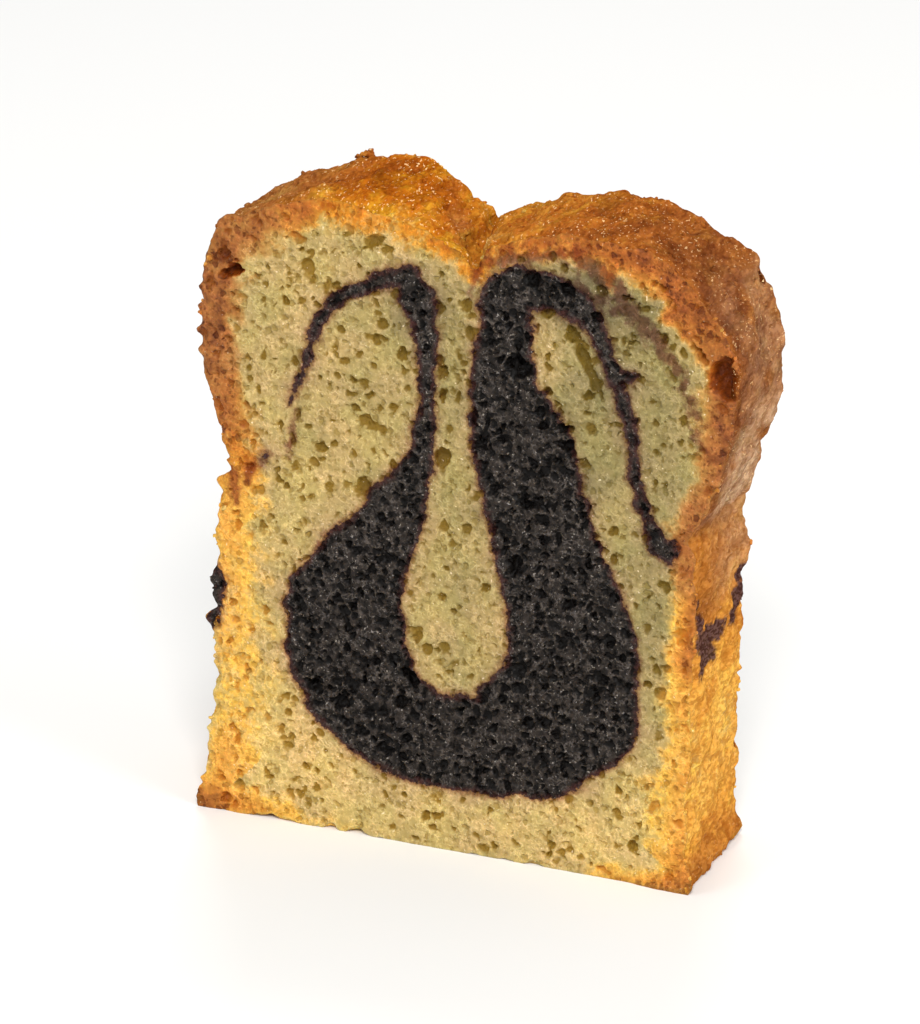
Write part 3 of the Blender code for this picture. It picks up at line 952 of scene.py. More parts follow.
def crumb_bake(points, away, rim, depths):
    """How far the oven's heat browned the crumb, and how toasted it is."""
    level, full, gone, dry = rim_browning(rim)
    uneven = 1.0 + 0.14 * waves(points, 5.0, 81)
    full, gone = full * uneven, gone * uneven
    even = np.clip((gone - away) / (gone - full), 0.0, 1.0)
    brown = level * (0.35 * smoothstep(away, gone, full) + 0.65 * even)
    # Painted light: the crumb within about a millimetre of the outline at the lower left is kept
    # paler, as where light shines through the thin edge.
    low_left = smoothstep(points[:, 0], -30.0, -36.0) * smoothstep(points[:, 1], 44.0, 34.0)
    low_left = low_left * smoothstep(points[:, 1], 2.0, 10.0)
    brown *= 1.0 - 0.45 * low_left * np.exp(-((away / 1.2) ** 2))
    for across, up, reach in BAKED_HOLES:
        beside = np.hypot(points[:, 0] - across, points[:, 1] - up) / reach
        share = depths * np.exp(-(beside**4))
        brown += (BAKED_HOLE_HEAT - brown) * share
        dry = dry * (1.0 - share)
    return np.clip(brown, 0.0, 1.0), dry


# Where the crumb is duller and greener (more) or paler (less):
# (across, up, half width, half height, more).
# The three paler marks nearest the foot are painted light, as from the pale floor below.
CRUMB_TONES = (
    (20, 74, 5.5, 15, 0.75), (32, 72, 6, 13, 0.4), (19, 92.5, 9, 4, 0.95), (29, 84, 5, 6, 0.45),
    (31.5, 48, 6.5, 13, 0.5), (33, 32, 5, 9, 0.25), (-0.5, 44, 5.5, 18, 0.3),
    (-1, 76, 3, 16, 0.35), (-7.5, 86.5, 5, 5.5, 0.75), (-15, 74, 8, 10, 0.2),
    (-12, 6, 32, 8, -0.2), (-31, 12, 8, 8, -0.45), (24, 7, 12, 8, -0.3), (-33, 36, 6, 14, -0.1),
)


def crumb_tone(points, side):
    """How dull each point of a cut face is."""
    bent = drifted(points, side)
    tone = 0.08 * waves(points, 12.0, 82)
    for across, up, wide, tall, more in CRUMB_TONES:
        away = ((bent[:, 0] - across) / wide) ** 2 + ((bent[:, 1] - up) / tall) ** 2
        tone += more * np.exp(-0.7 * away)
    return tone


# --- crumbs that cling to the slice --------------------------------------------------------------


def crumb_shape():
    """A ball of a few dozen faces, as points and faces."""
    ball = bmesh.new()
    bmesh.ops.create_icosphere(ball, subdivisions=2, radius=1.0)
    points = np.array([vert.co for vert in ball.verts])
    faces = np.array([[vert.index for vert in face.verts] for face in ball.faces])
    ball.free()
    return points, faces


def random_turn(rng):
    """A random rotation."""
    axes, _ = np.linalg.qr(rng.normal(size=(3, 3)))
    return axes * np.sign(np.linalg.det(axes))


def scattered_piece(name, places, sizes, values, seed):
    """Many small uneven lumps joined into one mesh, each with its own values."""
    rng = np.random.default_rng(seed)
    ball, ball_faces = crumb_shape()
    points = []
    faces = []
    for i, (place, size) in enumerate(zip(places, sizes)):
        uneven = 1.0 + 0.22 * waves(ball + rng.uniform(-50.0, 50.0, 3), 1.6, seed + i % 17, 8)
        shape = ball * np.clip(uneven, 0.6, 1.5)[:, None] * rng.uniform(0.65, 1.2, 3)
        points.append(place + size * shape @ random_turn(rng).T)
        faces.append(ball_faces + i * len(ball))
    each = {label: np.repeat(numbers, len(ball)) for label, numbers in values.items()}
    return new_object(name, np.concatenate(points), np.concatenate(faces).tolist(), each)


# Lumps of the flake that stands on the crown: (across, depth, up, size).
TOP_FLAKE = (
    (-26.9, 11.2, 101, 0.55), (-26.2, 11.3, 101.3, 0.65), (-25.4, 11.2, 101.5, 0.75),
    (-24.8, 11.2, 101.7, 0.75), (-24.6, 11.2, 102.2, 0.5), (-24.5, 11.3, 101.2, 0.6),
)


FLAKE_ROW = -4  # the skin's row under the flake
GRAIN_COUNT = 420
GRAIN_SIZE = 0.34  # most are near this
GRAIN_SINK = 0.35  # how much of its size a grain sinks into the skin
CLINGING_COUNT = 110  # on each cut face
CLINGING_SIZE = 0.30
SIZE_SPREAD = 0.35
CLEARANCE = 1.2  # lumps stay so many sizes above the plane of the foot


def crust_grains(skin, outer, bake, rosy, dry, seed):
    """Baked grains and flakes on the crown and round the foot."""
    rng = np.random.default_rng(seed)
    rows, columns = outer.shape[:2]
    height = skin.points[:, :, 2]
    upward = skin.outward[:, :, 1]
    crown = crown_share(height)
    chance = crown * (0.15 + 0.85 * smoothstep(upward, 0.0, 0.5))
    chance = (chance + 0.5 * smoothstep(height, 4.0, 1.0)) * (height > 0.6)
    odds = (chance / chance.sum()).ravel()
    chosen = rng.choice(rows * columns, GRAIN_COUNT, replace=False, p=odds)
    row, column = np.unravel_index(chosen, (rows, columns))
    sizes = rng.lognormal(math.log(GRAIN_SIZE), SIZE_SPREAD, GRAIN_COUNT)
    sizes = np.clip(sizes, 0.2, 0.9)
    places = outer[row, column].copy()
    places[:, [0, 2]] -= skin.outward[row, column] * GRAIN_SINK * sizes[:, None]
    places[:, 2] = np.maximum(places[:, 2], CLEARANCE * sizes)
    flake = np.array(TOP_FLAKE)
    places = np.concatenate([places, flake[:, :3]])
    sizes = np.concatenate([sizes, flake[:, 3]])
    under = np.argmin(np.hypot(*(skin.flat[FLAKE_ROW] - (-26.0, 100.5)).T))
    row = np.concatenate([row, (rows + FLAKE_ROW,) * len(flake)])
    column = np.concatenate([column, (under,) * len(flake)])
    values = {
        "bake": bake[row, column] + rng.uniform(-0.12, 0.08, len(row)),
        "crown": crown_share(skin.points[row, column, 2]),
        "rosy": rosy[row, column],
        "dry": dry[row, column],
        "cocoa": np.full(len(row), FAR),
        "hollow": np.zeros(len(row)),
    }
    return scattered_piece("crust_grains", places, sizes, values, seed)


def clinging_crumbs(skin, outer, bake, cocoa, seed):
    """Soft crumbs along the edges that the knife left."""
    rng = np.random.default_rng(seed)
    kept = []
    for row, side in ((0, -1.0), (-1, 1.0)):
        columns = rng.choice(outer.shape[1], CLINGING_COUNT, replace=False)
        columns = columns[(outer[row, columns, 2] < 92.0) & (outer[row, columns, 2] > 0.5)]
        size = rng.lognormal(math.log(CLINGING_SIZE), SIZE_SPREAD, len(columns))
        size = np.clip(size, 0.18, 0.7)
        place = outer[row, columns].copy()
        place[:, [0, 2]] += skin.outward[row, columns] * rng.uniform(-0.9, 0.15, (len(columns), 1))
        place[:, 1] += side * rng.uniform(-0.1, 0.1, len(columns))
        place[:, 2] = np.maximum(place[:, 2], CLEARANCE * size)
        kept.append(np.column_stack([place, size, bake[row, columns], cocoa[row, columns]]))
    kept = np.concatenate(kept)
    count = len(kept)
    values = {
        "bake": kept[:, 4] * rng.uniform(0.4, 1.0, count),
        "crown": crown_share(kept[:, 2]),
        "dry": np.full(count, 0.5),
        "cocoa": kept[:, 5],
        "faint": np.full(count, FAR),
        "hollow": np.zeros(count),
        "tone": np.full(count, -0.1),
    }
    return scattered_piece("clinging_crumbs", kept[:, :3], kept[:, 3], values, seed)


# --- materials -----------------------------------------------------------------------------------


def linear(red, green, blue):
    """A colour given as it looks on a screen, 0 to 255, as light."""
    channels = np.array([red, green, blue]) / 255.0
    light = np.where(channels <= 0.04045, channels / 12.92, ((channels + 0.055) / 1.055) ** 2.4)
    return (*light, 1.0)


# Crumb where little heat reached it, by tone, and how it browns against the tin and on the crown.
TONE_STOPS = (
    (0.0, linear(202, 170, 110)),
    (0.20, linear(184, 159, 105)),
    (0.35, linear(171, 148, 98)),
    (0.65, linear(146, 130, 86)),
    (1.0, linear(114, 104, 72)),
)
WALL_STOPS = (
    (0.00, linear(190, 158, 98)),
    (0.08, linear(208, 168, 90)),
    (0.16, linear(216, 168, 78)),
    (0.26, linear(206, 150, 66)),
    (0.35, linear(196, 134, 54)),
    (0.46, linear(174, 110, 44)),
    (0.58, linear(150, 92, 38)),
    (0.78, linear(104, 54, 24)),
    (1.00, linear(58, 27, 13)),
)
CROWN_STOPS = (
    (0.00, linear(176, 150, 96)),
    (0.12, linear(194, 146, 66)),
    (0.26, linear(188, 122, 34)),
    (0.42, linear(164, 88, 18)),
    (0.60, linear(132, 66, 18)),
    (0.80, linear(92, 42, 14)),
    (1.00, linear(54, 23, 10)),
)
TOASTED_STOPS = (
    (0.00, linear(172, 148, 98)),
    (0.15, linear(168, 134, 80)),
    (0.30, linear(160, 112, 60)),
    (0.50, linear(148, 92, 46)),
    (0.70, linear(112, 62, 32)),
    (1.00, linear(54, 24, 12)),
)
PORE_SHADE_TINT = linear(222, 216, 176)
HOLLOW_SHADE_TINT = linear(204, 186, 112)
BAKED_HOLLOW_SHADE_TINT = linear(240, 218, 172)
CRUMB_PAINTED_GLINT = linear(252, 236, 200)
CRUST_PAINTED_GLINT = linear(255, 214, 156)
ROSY_CRUST = linear(178, 144, 112)
COCOA_WALL = linear(51, 44, 39)
COCOA_BODY = linear(26, 22, 19)
COCOA_PORE_SHADE = linear(6, 4, 3)
COCOA_PAINTED_HIGHLIGHT = linear(98, 90, 84)
COCOA_PAINTED_GLINT = linear(150, 142, 134)
COCOA_RIM = linear(66, 34, 30)
COCOA_CRUST = linear(84, 60, 58)
COCOA_CRUST_DARK = linear(48, 29, 30)
SCORCHED_PORE_SHADE = linear(160, 122, 88)
BLEED_TINT = linear(196, 168, 160)
BLUSH_TINT = linear(246, 242, 252)
STAIN_TINT = linear(176, 136, 140)
SKIN_PORE_SHADE = linear(196, 166, 130)
# Factors on a colour's red, green and blue.
CRUMB_LIGHT = (1.12, 1.12, 1.12, 1.0)
CRUMB_DULL = (0.90, 0.90, 0.84, 1.0)
CRUMB_GREENER = (0.97, 1.01, 0.90, 1.0)
CRUMB_WARMER = (1.02, 0.99, 1.0, 1.0)
CRUMB_PAINTED_HIGHLIGHT = (1.38, 1.40, 1.56, 1.0)
SKIN_DARK = (0.76, 0.68, 0.62, 1.0)
SKIN_LIGHT = (1.20, 1.24, 1.26, 1.0)
SKIN_YOLK = (1.04, 1.26, 1.0, 1.0)
SKIN_CREAM = (1.16, 1.30, 1.60, 1.0)


class Maker:
    """Short calls that add nodes to one tree and link them."""

    def __init__(self, tree):
        self.tree = tree

    def add(self, kind, inputs=(), **settings):
        node = self.tree.nodes.new(kind)
        for name, value in settings.items():
            setattr(node, name, value)
        for socket, value in dict(inputs).items():
            self.feed(node.inputs[socket], value)
        return node

    def feed(self, socket, value):
        if isinstance(value, bpy.types.NodeSocket):
            self.tree.links.new(value, socket)
        else:
            socket.default_value = value

    def math(self, operation, first, second=0.0, third=0.0):
        node = self.add("ShaderNodeMath", operation=operation)
        for socket, value in zip(node.inputs, (first, second, third)):
            self.feed(socket, value)
        return node.outputs[0]

    def vectors(self, operation, first, second):
        inputs = {0: first, 1: second}
        return self.add("ShaderNodeVectorMath", inputs, operation=operation).outputs[0]

    def times(self, first, second):
        return self.math("MULTIPLY", first, second)

    def times_plus(self, first, second, more):
        return self.math("MULTIPLY_ADD", first, second, more)

    def plus(self, first, second):
        return self.math("ADD", first, second)

    def less(self, first, second):
        return self.math("SUBTRACT", first, second)

    def rest(self, share):
        return self.less(1.0, share)

    def most(self, first, second):
        return self.math("MAXIMUM", first, second)

    def mix(self, share, first, second, blend="MIX"):
        node = self.add("ShaderNodeMix", data_type="RGBA", blend_type=blend)
        for socket, value in ((0, share), (6, first), (7, second)):
            self.feed(node.inputs[socket], value)
        return node.outputs[2]

    def tinted(self, colour, tint):
        return self.mix(1.0, colour, tint, "MULTIPLY")

    def fade(self, value, start, end, low=0.0, high=1.0):
        inputs = {"Value": value, "From Min": start, "From Max": end, "To Min": low, "To Max": high}
        return self.add("ShaderNodeMapRange", inputs, interpolation_type="SMOOTHSTEP").outputs[0]

    def noise(self, vector, scale, detail=2.0, roughness=0.5, socket=0):
        inputs = {"Vector": vector, "Scale": scale, "Detail": detail, "Roughness": roughness}
        return self.add("ShaderNodeTexNoise", inputs).outputs[socket]

    def ramp(self, value, stops):
        node = self.add("ShaderNodeValToRGB", {0: value})
        elements = node.color_ramp.elements
        while len(elements) < len(stops):
            elements.new(0.5)
        for element, (position, colour) in zip(elements, stops):
            element.position = position
            element.color = colour
        return node.outputs[0]

    def parts(self, vector):
        return self.add("ShaderNodeSeparateXYZ", {0: vector}).outputs[:3]

    def join(self, first, second, third):
        return self.add("ShaderNodeCombineXYZ", {0: first, 1: second, 2: third}).outputs[0]

    def value(self, name):
        return self.add("ShaderNodeAttribute", attribute_name=name).outputs["Fac"]

    def place(self, along=1.0):
        """Object coordinates in millimetres, with those along the loaf at this share."""
        vector = self.add("ShaderNodeTexCoord").outputs["Object"]
        return self.vectors("MULTIPLY", vector, (1.0 / MM, along / MM, 1.0 / MM))

    def group(self, tree, inputs):
        node = self.add("ShaderNodeGroup", node_tree=tree)
        for name, value in inputs.items():
            self.feed(node.inputs[name], value)
        return node.outputs


def new_group(name, inputs, outputs):
    """An empty shader group, with inputs as (name, kind, value) and outputs as (name, kind)."""
    tree = bpy.data.node_groups.new(name, "ShaderNodeTree")
    for label, kind, value in inputs:
        socket = tree.interface.new_socket(label, in_out="INPUT", socket_type=kind)
        if value is not None:
            socket.default_value = value
    for label, kind in outputs:
        tree.interface.new_socket(label, in_out="OUTPUT", socket_type=kind)
    make = Maker(tree)
    start = make.add("NodeGroupInput")
    end = make.add("NodeGroupOutput")
    return tree, make, start.outputs, end.inputs


def bubble_group():
    """Bubbles of uneven size and depth: Pit is 1 in the deepest, Height is below the walls."""
    tree, make, given, out = new_group(
        "crumb_bubbles",
        (
            ("Vector", "NodeSocketVector", None),
            ("Size", "NodeSocketFloat", 0.8),
            ("Openness", "NodeSocketFloat", 0.5),
        ),
        (("Pit", "NodeSocketFloat"), ("Height", "NodeSocketFloat")),
    )
    scale = make.math("DIVIDE", 1.0, given["Size"])
    wander = make.noise(given["Vector"], make.times(scale, 1.3), 1.0, socket="Color")
    bend = make.vectors("SUBTRACT", wander, (0.5, 0.5, 0.5))
    reach = make.times(given["Size"], 0.9)
    bend = make.add("ShaderNodeVectorMath", {0: bend, 3: reach}, operation="SCALE").outputs[0]
    bent = make.vectors("ADD", given["Vector"], bend)
    cells = make.add("ShaderNodeTexVoronoi", {"Vector": bent, "Scale": scale})
    chance = make.add("ShaderNodeSeparateColor", {0: cells.outputs["Color"]}).outputs[0]
    shut = make.rest(given["Openness"])
    deep = make.fade(chance, shut, make.plus(shut, 0.35), 0.08, 1.0)
    bowl = make.fade(cells.outputs["Distance"], 0.62, 0.22)
    bubble = make.times(bowl, deep)
    make.feed(out["Pit"], make.times(make.fade(cells.outputs["Distance"], 0.50, 0.34), deep))
    make.feed(out["Height"], make.times(make.times(bubble, given["Size"]), -0.5))
    return tree


def thread_group():
    """Thin wandering threads on the walls of bubbles, mostly for painted highlights: 1 on a thread.
    """
    tree, make, given, out = new_group(
        "crumb_threads",
        (("Vector", "NodeSocketVector", None), ("Size", "NodeSocketFloat", 0.6)),
        (("Thread", "NodeSocketFloat"),),
    )
    scale = make.math("DIVIDE", 1.0, given["Size"])
    path = make.noise(given["Vector"], scale, 1.0, 0.4)
    near = make.math("ABSOLUTE", make.less(path, 0.5))
    broken = make.noise(given["Vector"], make.times(scale, 0.6), 2.0)
    make.feed(out["Thread"], make.times(make.fade(near, 0.12, 0.0), make.fade(broken, 0.42, 0.62)))
    return tree


def bake_group():
    """The colour of cake from pale crumb to dark crust, unevenly browned."""
    tree, make, given, out = new_group(
        "oven_browning",
        (
            ("Vector", "NodeSocketVector", None),
            ("Bake", "NodeSocketFloat", 0.0),
            ("Crown", "NodeSocketFloat", 0.0),
            ("Dry", "NodeSocketFloat", 0.0),
            ("Rosy", "NodeSocketFloat", 0.0),
            ("Tone", "NodeSocketFloat", 0.0),
        ),
        (("Color", "NodeSocketColor"),),
    )
    cloud = make.noise(given["Vector"], 0.18, 2.0)
    lump = make.noise(given["Vector"], 0.45, 2.0)
    grain = make.noise(given["Vector"], 1.4, 2.0)
    rough = make.fade(given["Crown"], 0.0, 1.0, 0.45, 1.0)
    swing = make.times(make.less(cloud, 0.5), 0.36)
    fine = make.times(make.less(grain, 0.5), 0.34)
    fine = make.times_plus(make.less(lump, 0.5), 0.56, fine)
    swing = make.times_plus(fine, rough, swing)
    swing = make.times(swing, make.fade(given["Bake"], 0.0, 0.5))
    heat = make.plus(given["Bake"], swing)
    risen = make.mix(given["Dry"], make.ramp(heat, CROWN_STOPS), make.ramp(heat, TOASTED_STOPS))
    cooked = make.mix(given["Crown"], make.ramp(heat, WALL_STOPS), risen)
    mottle = make.noise(given["Vector"], 0.3, 3.0, 0.6)
    tone = make.times_plus(make.less(mottle, 0.5), 0.65, given["Tone"])
    raw = make.ramp(make.times_plus(tone, 0.65, 0.35), TONE_STOPS)
    patchy = make.times_plus(grain, 0.5, make.times(lump, 0.5))
    reached = make.times(given["Bake"], make.fade(patchy, 0.40, 0.60, 0.62, 1.40))
    colour = make.mix(make.fade(reached, 0.0, 0.22), raw, cooked)
    across, along, up = make.parts(given["Vector"])
    stretched = make.join(across, along, make.times(up, 0.35))
    streak = make.fade(make.noise(stretched, 0.7, 3.0, 0.6), 0.36, 0.64, 0.78, 1.16)
    rosy = make.tinted(ROSY_CRUST, make.join(streak, streak, streak))
    share = make.times(given["Rosy"], make.fade(lump, 0.62, 0.44, 0.55, 1.0))
    make.feed(out["Color"], make.mix(share, colour, rosy))
    return tree


def cocoa_group(bubbles, threads):
    """Cocoa batter: where it lies, how far it bled, and its black, bubbly colour, with painted
    shade in its pits and painted highlights and glints on its walls.
    """
    tree, make, given, out = new_group(
        "cocoa_batter",
        (
            ("Vector", "NodeSocketVector", None),
            ("Edge", "NodeSocketFloat", 9.0),
            ("Hollow", "NodeSocketFloat", 0.0),
        ),
        (
            ("Cocoa", "NodeSocketFloat"),
            ("Bleed", "NodeSocketFloat"),
            ("Color", "NodeSocketColor"),
            ("Height", "NodeSocketFloat"),
        ),
    )
    torn = make.noise(given["Vector"], 1.25, 3.0, 0.7)
    edge = make.times_plus(make.less(torn, 0.5), 1.7, given["Edge"])
    make.feed(out["Cocoa"], make.fade(edge, 0.14, -0.12))
    make.feed(out["Bleed"], make.fade(edge, 0.95, 0.0))
    coarse = make.group(bubbles, {"Vector": given["Vector"], "Size": 1.15, "Openness": 0.6})
    fine = make.group(bubbles, {"Vector": given["Vector"], "Size": 0.6, "Openness": 0.5})
    thread = make.group(threads, {"Vector": given["Vector"], "Size": 0.7})["Thread"]
    lump = make.noise(given["Vector"], 1.0, 2.0)
    # Painted shade: the cocoa's pits and holes are coloured near black.
    solid = make.rest(make.fade(given["Hollow"], 0.10, 0.5))
    solid = make.times(solid, make.rest(make.times(coarse["Pit"], 0.85)))
    tone = make.mix(make.fade(lump, 0.36, 0.66), COCOA_BODY, COCOA_WALL)
    hollow = make.rest(solid)
    hollow = make.most(hollow, make.times(fine["Pit"], 0.5))
    tone = make.mix(make.times(hollow, 0.95), tone, COCOA_PORE_SHADE)
    # Painted highlights: lighter threads on the bubbles' walls, as where they catch the light.
    tone = make.mix(make.times(make.times(thread, solid), 0.6), tone, COCOA_PAINTED_HIGHLIGHT)
    # Painted glints on the cocoa's walls, as bright spots in its colour.
    painted_glint = make.fade(make.noise(given["Vector"], 2.4, 1.0), 0.66, 0.76)
    tone = make.mix(make.times(make.times(painted_glint, solid), 0.8), tone, COCOA_PAINTED_GLINT)
    rim = make.times(make.fade(edge, -1.1, 0.05), make.fade(lump, 0.34, 0.6, 0.45, 0.95))
    make.feed(out["Color"], make.mix(rim, tone, COCOA_RIM))
    height = make.times_plus(fine["Height"], 0.5, coarse["Height"])
    make.feed(out["Height"], height)
    return tree


def new_material(name):
    """A material, the maker of its nodes, and its surface shader."""
    material = bpy.data.materials.new(name)
    material.use_nodes = True
    return material, Maker(material.node_tree), material.node_tree.nodes["Principled BSDF"]


def set_depth(surface, shine, weight, colours, reach):
    """How the surface shines, and how far light goes into it, in millimetres."""
    surface.inputs["Specular IOR Level"].default_value = shine
    surface.inputs["Subsurface Weight"].default_value = weight
    surface.inputs["Subsurface Radius"].default_value = colours
    surface.inputs["Subsurface Scale"].default_value = reach * MM


def crumb_material(bubbles, threads, browning, batter):
    """Open, buttery crumb with cocoa marbling, browned towards the skin."""
    material, make, surface = new_material("marbled_crumb")
    place = make.place()
    hollow = make.value("hollow")
    kind = {name.title(): make.value(name) for name in ("bake", "crown", "dry", "tone")}
    cooked = make.group(browning, kind | {"Vector": place})["Color"]
    medium = make.group(bubbles, {"Vector": place, "Size": 1.25, "Openness": 0.45})
    small = make.group(bubbles, {"Vector": place, "Size": 0.6, "Openness": 0.5})
    thread = make.group(threads, {"Vector": place, "Size": 0.75})["Thread"]
    soft = make.noise(place, 1.0, 2.0)
    light = make.tinted(cooked, CRUMB_LIGHT)
    dull = make.tinted(cooked, CRUMB_DULL)
    colour = make.mix(make.fade(soft, 0.34, 0.66), dull, light)
    hue = make.noise(place, 0.17, 2.0)
    tint = make.mix(make.fade(hue, 0.36, 0.64), CRUMB_GREENER, CRUMB_WARMER)
    colour = make.tinted(colour, tint)
    # Painted shade: the pits of the shader's bubbles and the deeper holes are coloured darker and
    # more olive, as shade in them.
    scorch = make.fade(kind["Bake"], 0.15, 0.5)
    pore_shade = make.tinted(cooked, make.mix(scorch, PORE_SHADE_TINT, SCORCHED_PORE_SHADE))
    pit_shade = make.most(make.times(small["Pit"], 0.55), make.times(medium["Pit"], 0.85))
    colour = make.mix(pit_shade, colour, pore_shade)
    baked = make.fade(kind["Bake"], 0.0, 0.2)
    deep = make.tinted(cooked, make.mix(baked, HOLLOW_SHADE_TINT, BAKED_HOLLOW_SHADE_TINT))
    hole = make.fade(hollow, 0.12, 0.6)
    colour = make.mix(hole, colour, deep)
    flat = make.rest(make.most(pit_shade, hole))
    # Painted highlights: cream threads and blobs on the crumb's walls, kept out of the shaded pits.
    cream = make.tinted(colour, CRUMB_PAINTED_HIGHLIGHT)
    blob = make.fade(make.noise(place, 1.9, 2.0), 0.54, 0.70)
    lit = make.most(thread, make.times(blob, 0.8))
    colour = make.mix(make.times(lit, flat), colour, cream)
    # Painted glints: rare bright spots in the base colour stand in for highlights on the crumb,
    # fewer where it is browned.
    painted_glint = make.fade(make.noise(place, 2.3, 0.0), 0.79, 0.89)
    painted_glint = make.times(painted_glint, make.fade(scorch, 0.0, 0.6, 0.55, 0.2))
    colour = make.mix(painted_glint, colour, CRUMB_PAINTED_GLINT)
    blot = make.noise(place, 1.3, 3.0, 0.7)
    stain = make.times_plus(make.less(blot, 0.5), 3.0, make.value("faint"))
    stained = make.tinted(colour, STAIN_TINT)
    colour = make.mix(make.fade(stain, 0.9, -0.9, 0.0, 0.95), colour, stained)
    edge = make.value("cocoa")
    cocoa = make.group(batter, {"Vector": place, "Edge": edge, "Hollow": hollow})
    blush = make.tinted(colour, BLUSH_TINT)
    colour = make.mix(make.fade(edge, 3.0, 0.3), colour, blush)
    bled = make.tinted(colour, BLEED_TINT)
    colour = make.mix(cocoa["Bleed"], colour, bled)
    colour = make.mix(cocoa["Cocoa"], colour, cocoa["Color"])
    make.feed(surface.inputs["Base Color"], colour)

    pale = make.times_plus(soft, 0.12, make.times(medium["Height"], 0.5))
    pale = make.times_plus(small["Height"], 0.36, pale)
    pale = make.times_plus(thread, 0.06, pale)
    gap = make.less(make.times(cocoa["Height"], 1.1), pale)
    height = make.times_plus(gap, cocoa["Cocoa"], pale)
    bump = make.add("ShaderNodeBump", {"Height": height, "Strength": 1.0, "Distance": 1.0 * MM})
    make.feed(surface.inputs["Normal"], bump.outputs[0])
    make.feed(surface.inputs["Roughness"], make.fade(soft, 0.35, 0.65, 0.55, 0.40))
    set_depth(surface, 0.12, 0.55, (1.0, 0.75, 0.4), 0.7)
    return material


def crust_material(bubbles, browning):
    """Baked skin: a lumpy crown with painted glints for its shine, and golden walls where the tin
    was.
    """
    material, make, surface = new_material("baked_skin")
    place = make.place(ALONG_SHARE)
    bake = make.value("bake")
    hollow = make.value("hollow")
    rosy = make.value("rosy")
    crown = make.value("crown")
    dry = make.value("dry")
    kind = {"Vector": place, "Bake": bake, "Crown": crown, "Dry": dry, "Rosy": rosy, "Tone": 0.0}
    cooked = make.group(browning, kind)["Color"]
    coarse = make.fade(crown, 0.0, 1.0, 0.35, 1.0)
    grains = make.group(bubbles, {"Vector": place, "Size": 1.3, "Openness": 0.4})
    lump = make.noise(place, 0.9, 2.0)
    grain = make.noise(place, 2.2, 1.0)
    patch = make.noise(place, 0.28, 2.0)
    dark = make.tinted(cooked, SKIN_DARK)
    light = make.tinted(cooked, SKIN_LIGHT)
    rough = make.times_plus(grain, 0.4, make.times(lump, 0.6))
    colour = make.mix(make.fade(rough, 0.40, 0.60), dark, light)
    yolk = make.tinted(colour, SKIN_YOLK)
    moist = make.rest(make.times(dry, 0.7))
    colour = make.mix(make.times(make.fade(patch, 0.50, 0.66), moist), colour, yolk)
    # Painted shade: the skin's pits and pores are coloured darker.
    deep = make.tinted(cooked, SKIN_PORE_SHADE)
    pit_shade = make.times(make.times(grains["Pit"], coarse), 0.5)
    pit_shade = make.most(pit_shade, make.fade(hollow, 0.0, 0.8, 0.0, 0.7))
    held = make.rest(crown)
    fine = make.group(bubbles, {"Vector": place, "Size": 0.65, "Openness": 0.45})
    pit_shade = make.most(pit_shade, make.times(make.times(fine["Pit"], held), 0.5))
    colour = make.mix(pit_shade, colour, deep)
    blob = make.times(make.fade(make.noise(place, 1.7, 2.0), 0.52, 0.68), held)
    cream = make.tinted(colour, SKIN_CREAM)
    colour = make.mix(make.times(blob, 0.6), colour, cream)
    # Painted glints: clustered bright spots in the base colour stand in for the crown's shine, kept
    # out of the pits and fainter where it is toasted.
    cluster = make.fade(make.noise(place, 0.32, 1.0), 0.40, 0.60, 0.2, 1.0)
    speck = make.noise(place, 1.5, 1.0, 0.7)
    spark = make.noise(place, 2.3, 1.0, 0.7)
    painted_glint = make.times(make.fade(spark, 0.62, 0.72), cluster)
    painted_glint = make.times(painted_glint, make.rest(pit_shade))
    painted_glint = make.times(make.times(painted_glint, coarse), make.fade(dry, 0.0, 1.0, 0.8, 0.42))
    colour = make.mix(painted_glint, colour, CRUST_PAINTED_GLINT)
    ragged = make.times_plus(make.less(speck, 0.5), 1.2, make.value("cocoa"))
    spotted = make.mix(make.fade(grain, 0.42, 0.60), COCOA_CRUST_DARK, COCOA_CRUST)
    colour = make.mix(make.fade(ragged, 0.5, -0.4, 0.0, 0.95), colour, spotted)
    make.feed(surface.inputs["Base Color"], colour)
    height = make.times_plus(grain, 0.08, make.times(lump, 0.20))
    height = make.times_plus(make.times(grains["Height"], coarse), 0.45, height)
    height = make.times_plus(make.times(fine["Height"], held), 0.25, height)
    bump = make.add("ShaderNodeBump", {"Height": height, "Strength": 1.0, "Distance": 1.0 * MM})
    make.feed(surface.inputs["Normal"], bump.outputs[0])
    gloss = make.times(make.fade(bake, 0.25, 0.42), crown)
    gloss = make.times(gloss, make.rest(make.times(rosy, 0.8)))
    make.feed(surface.inputs["Roughness"], make.fade(gloss, 0.0, 1.0, 0.62, 0.32))
    # Specular level 0: the skin shows no shine of its own, only the painted glints.
    set_depth(surface, 0.0, 0.2, (1.0, 0.45, 0.12), 0.6)
    return material


# --- stage, light and camera ---------------------------------------------------------------------

VIEW_AZIMUTH = 22.36
VIEW_ELEVATION = 21.07
VIEW_ROLL = 0.45
VIEW_DISTANCE = 900.0
VIEW_TARGET = (-5.05, 0.0, 50.6)
VIEW_LENS = 208.7
VIEW_SENSOR = 36.0
VIEW_END = 20.0
AIM = (0.0, 0.0, 0.05)  # the lamps look at the middle of the slice
FLOOR_SIZE = 4.0
FLOOR_COLOUR = (0.86, 0.86, 0.85, 1.0)
FLOOR_ROUGHNESS = 0.9
WHITE = (1.0, 1.0, 1.0)
AMBIENT = 0.42
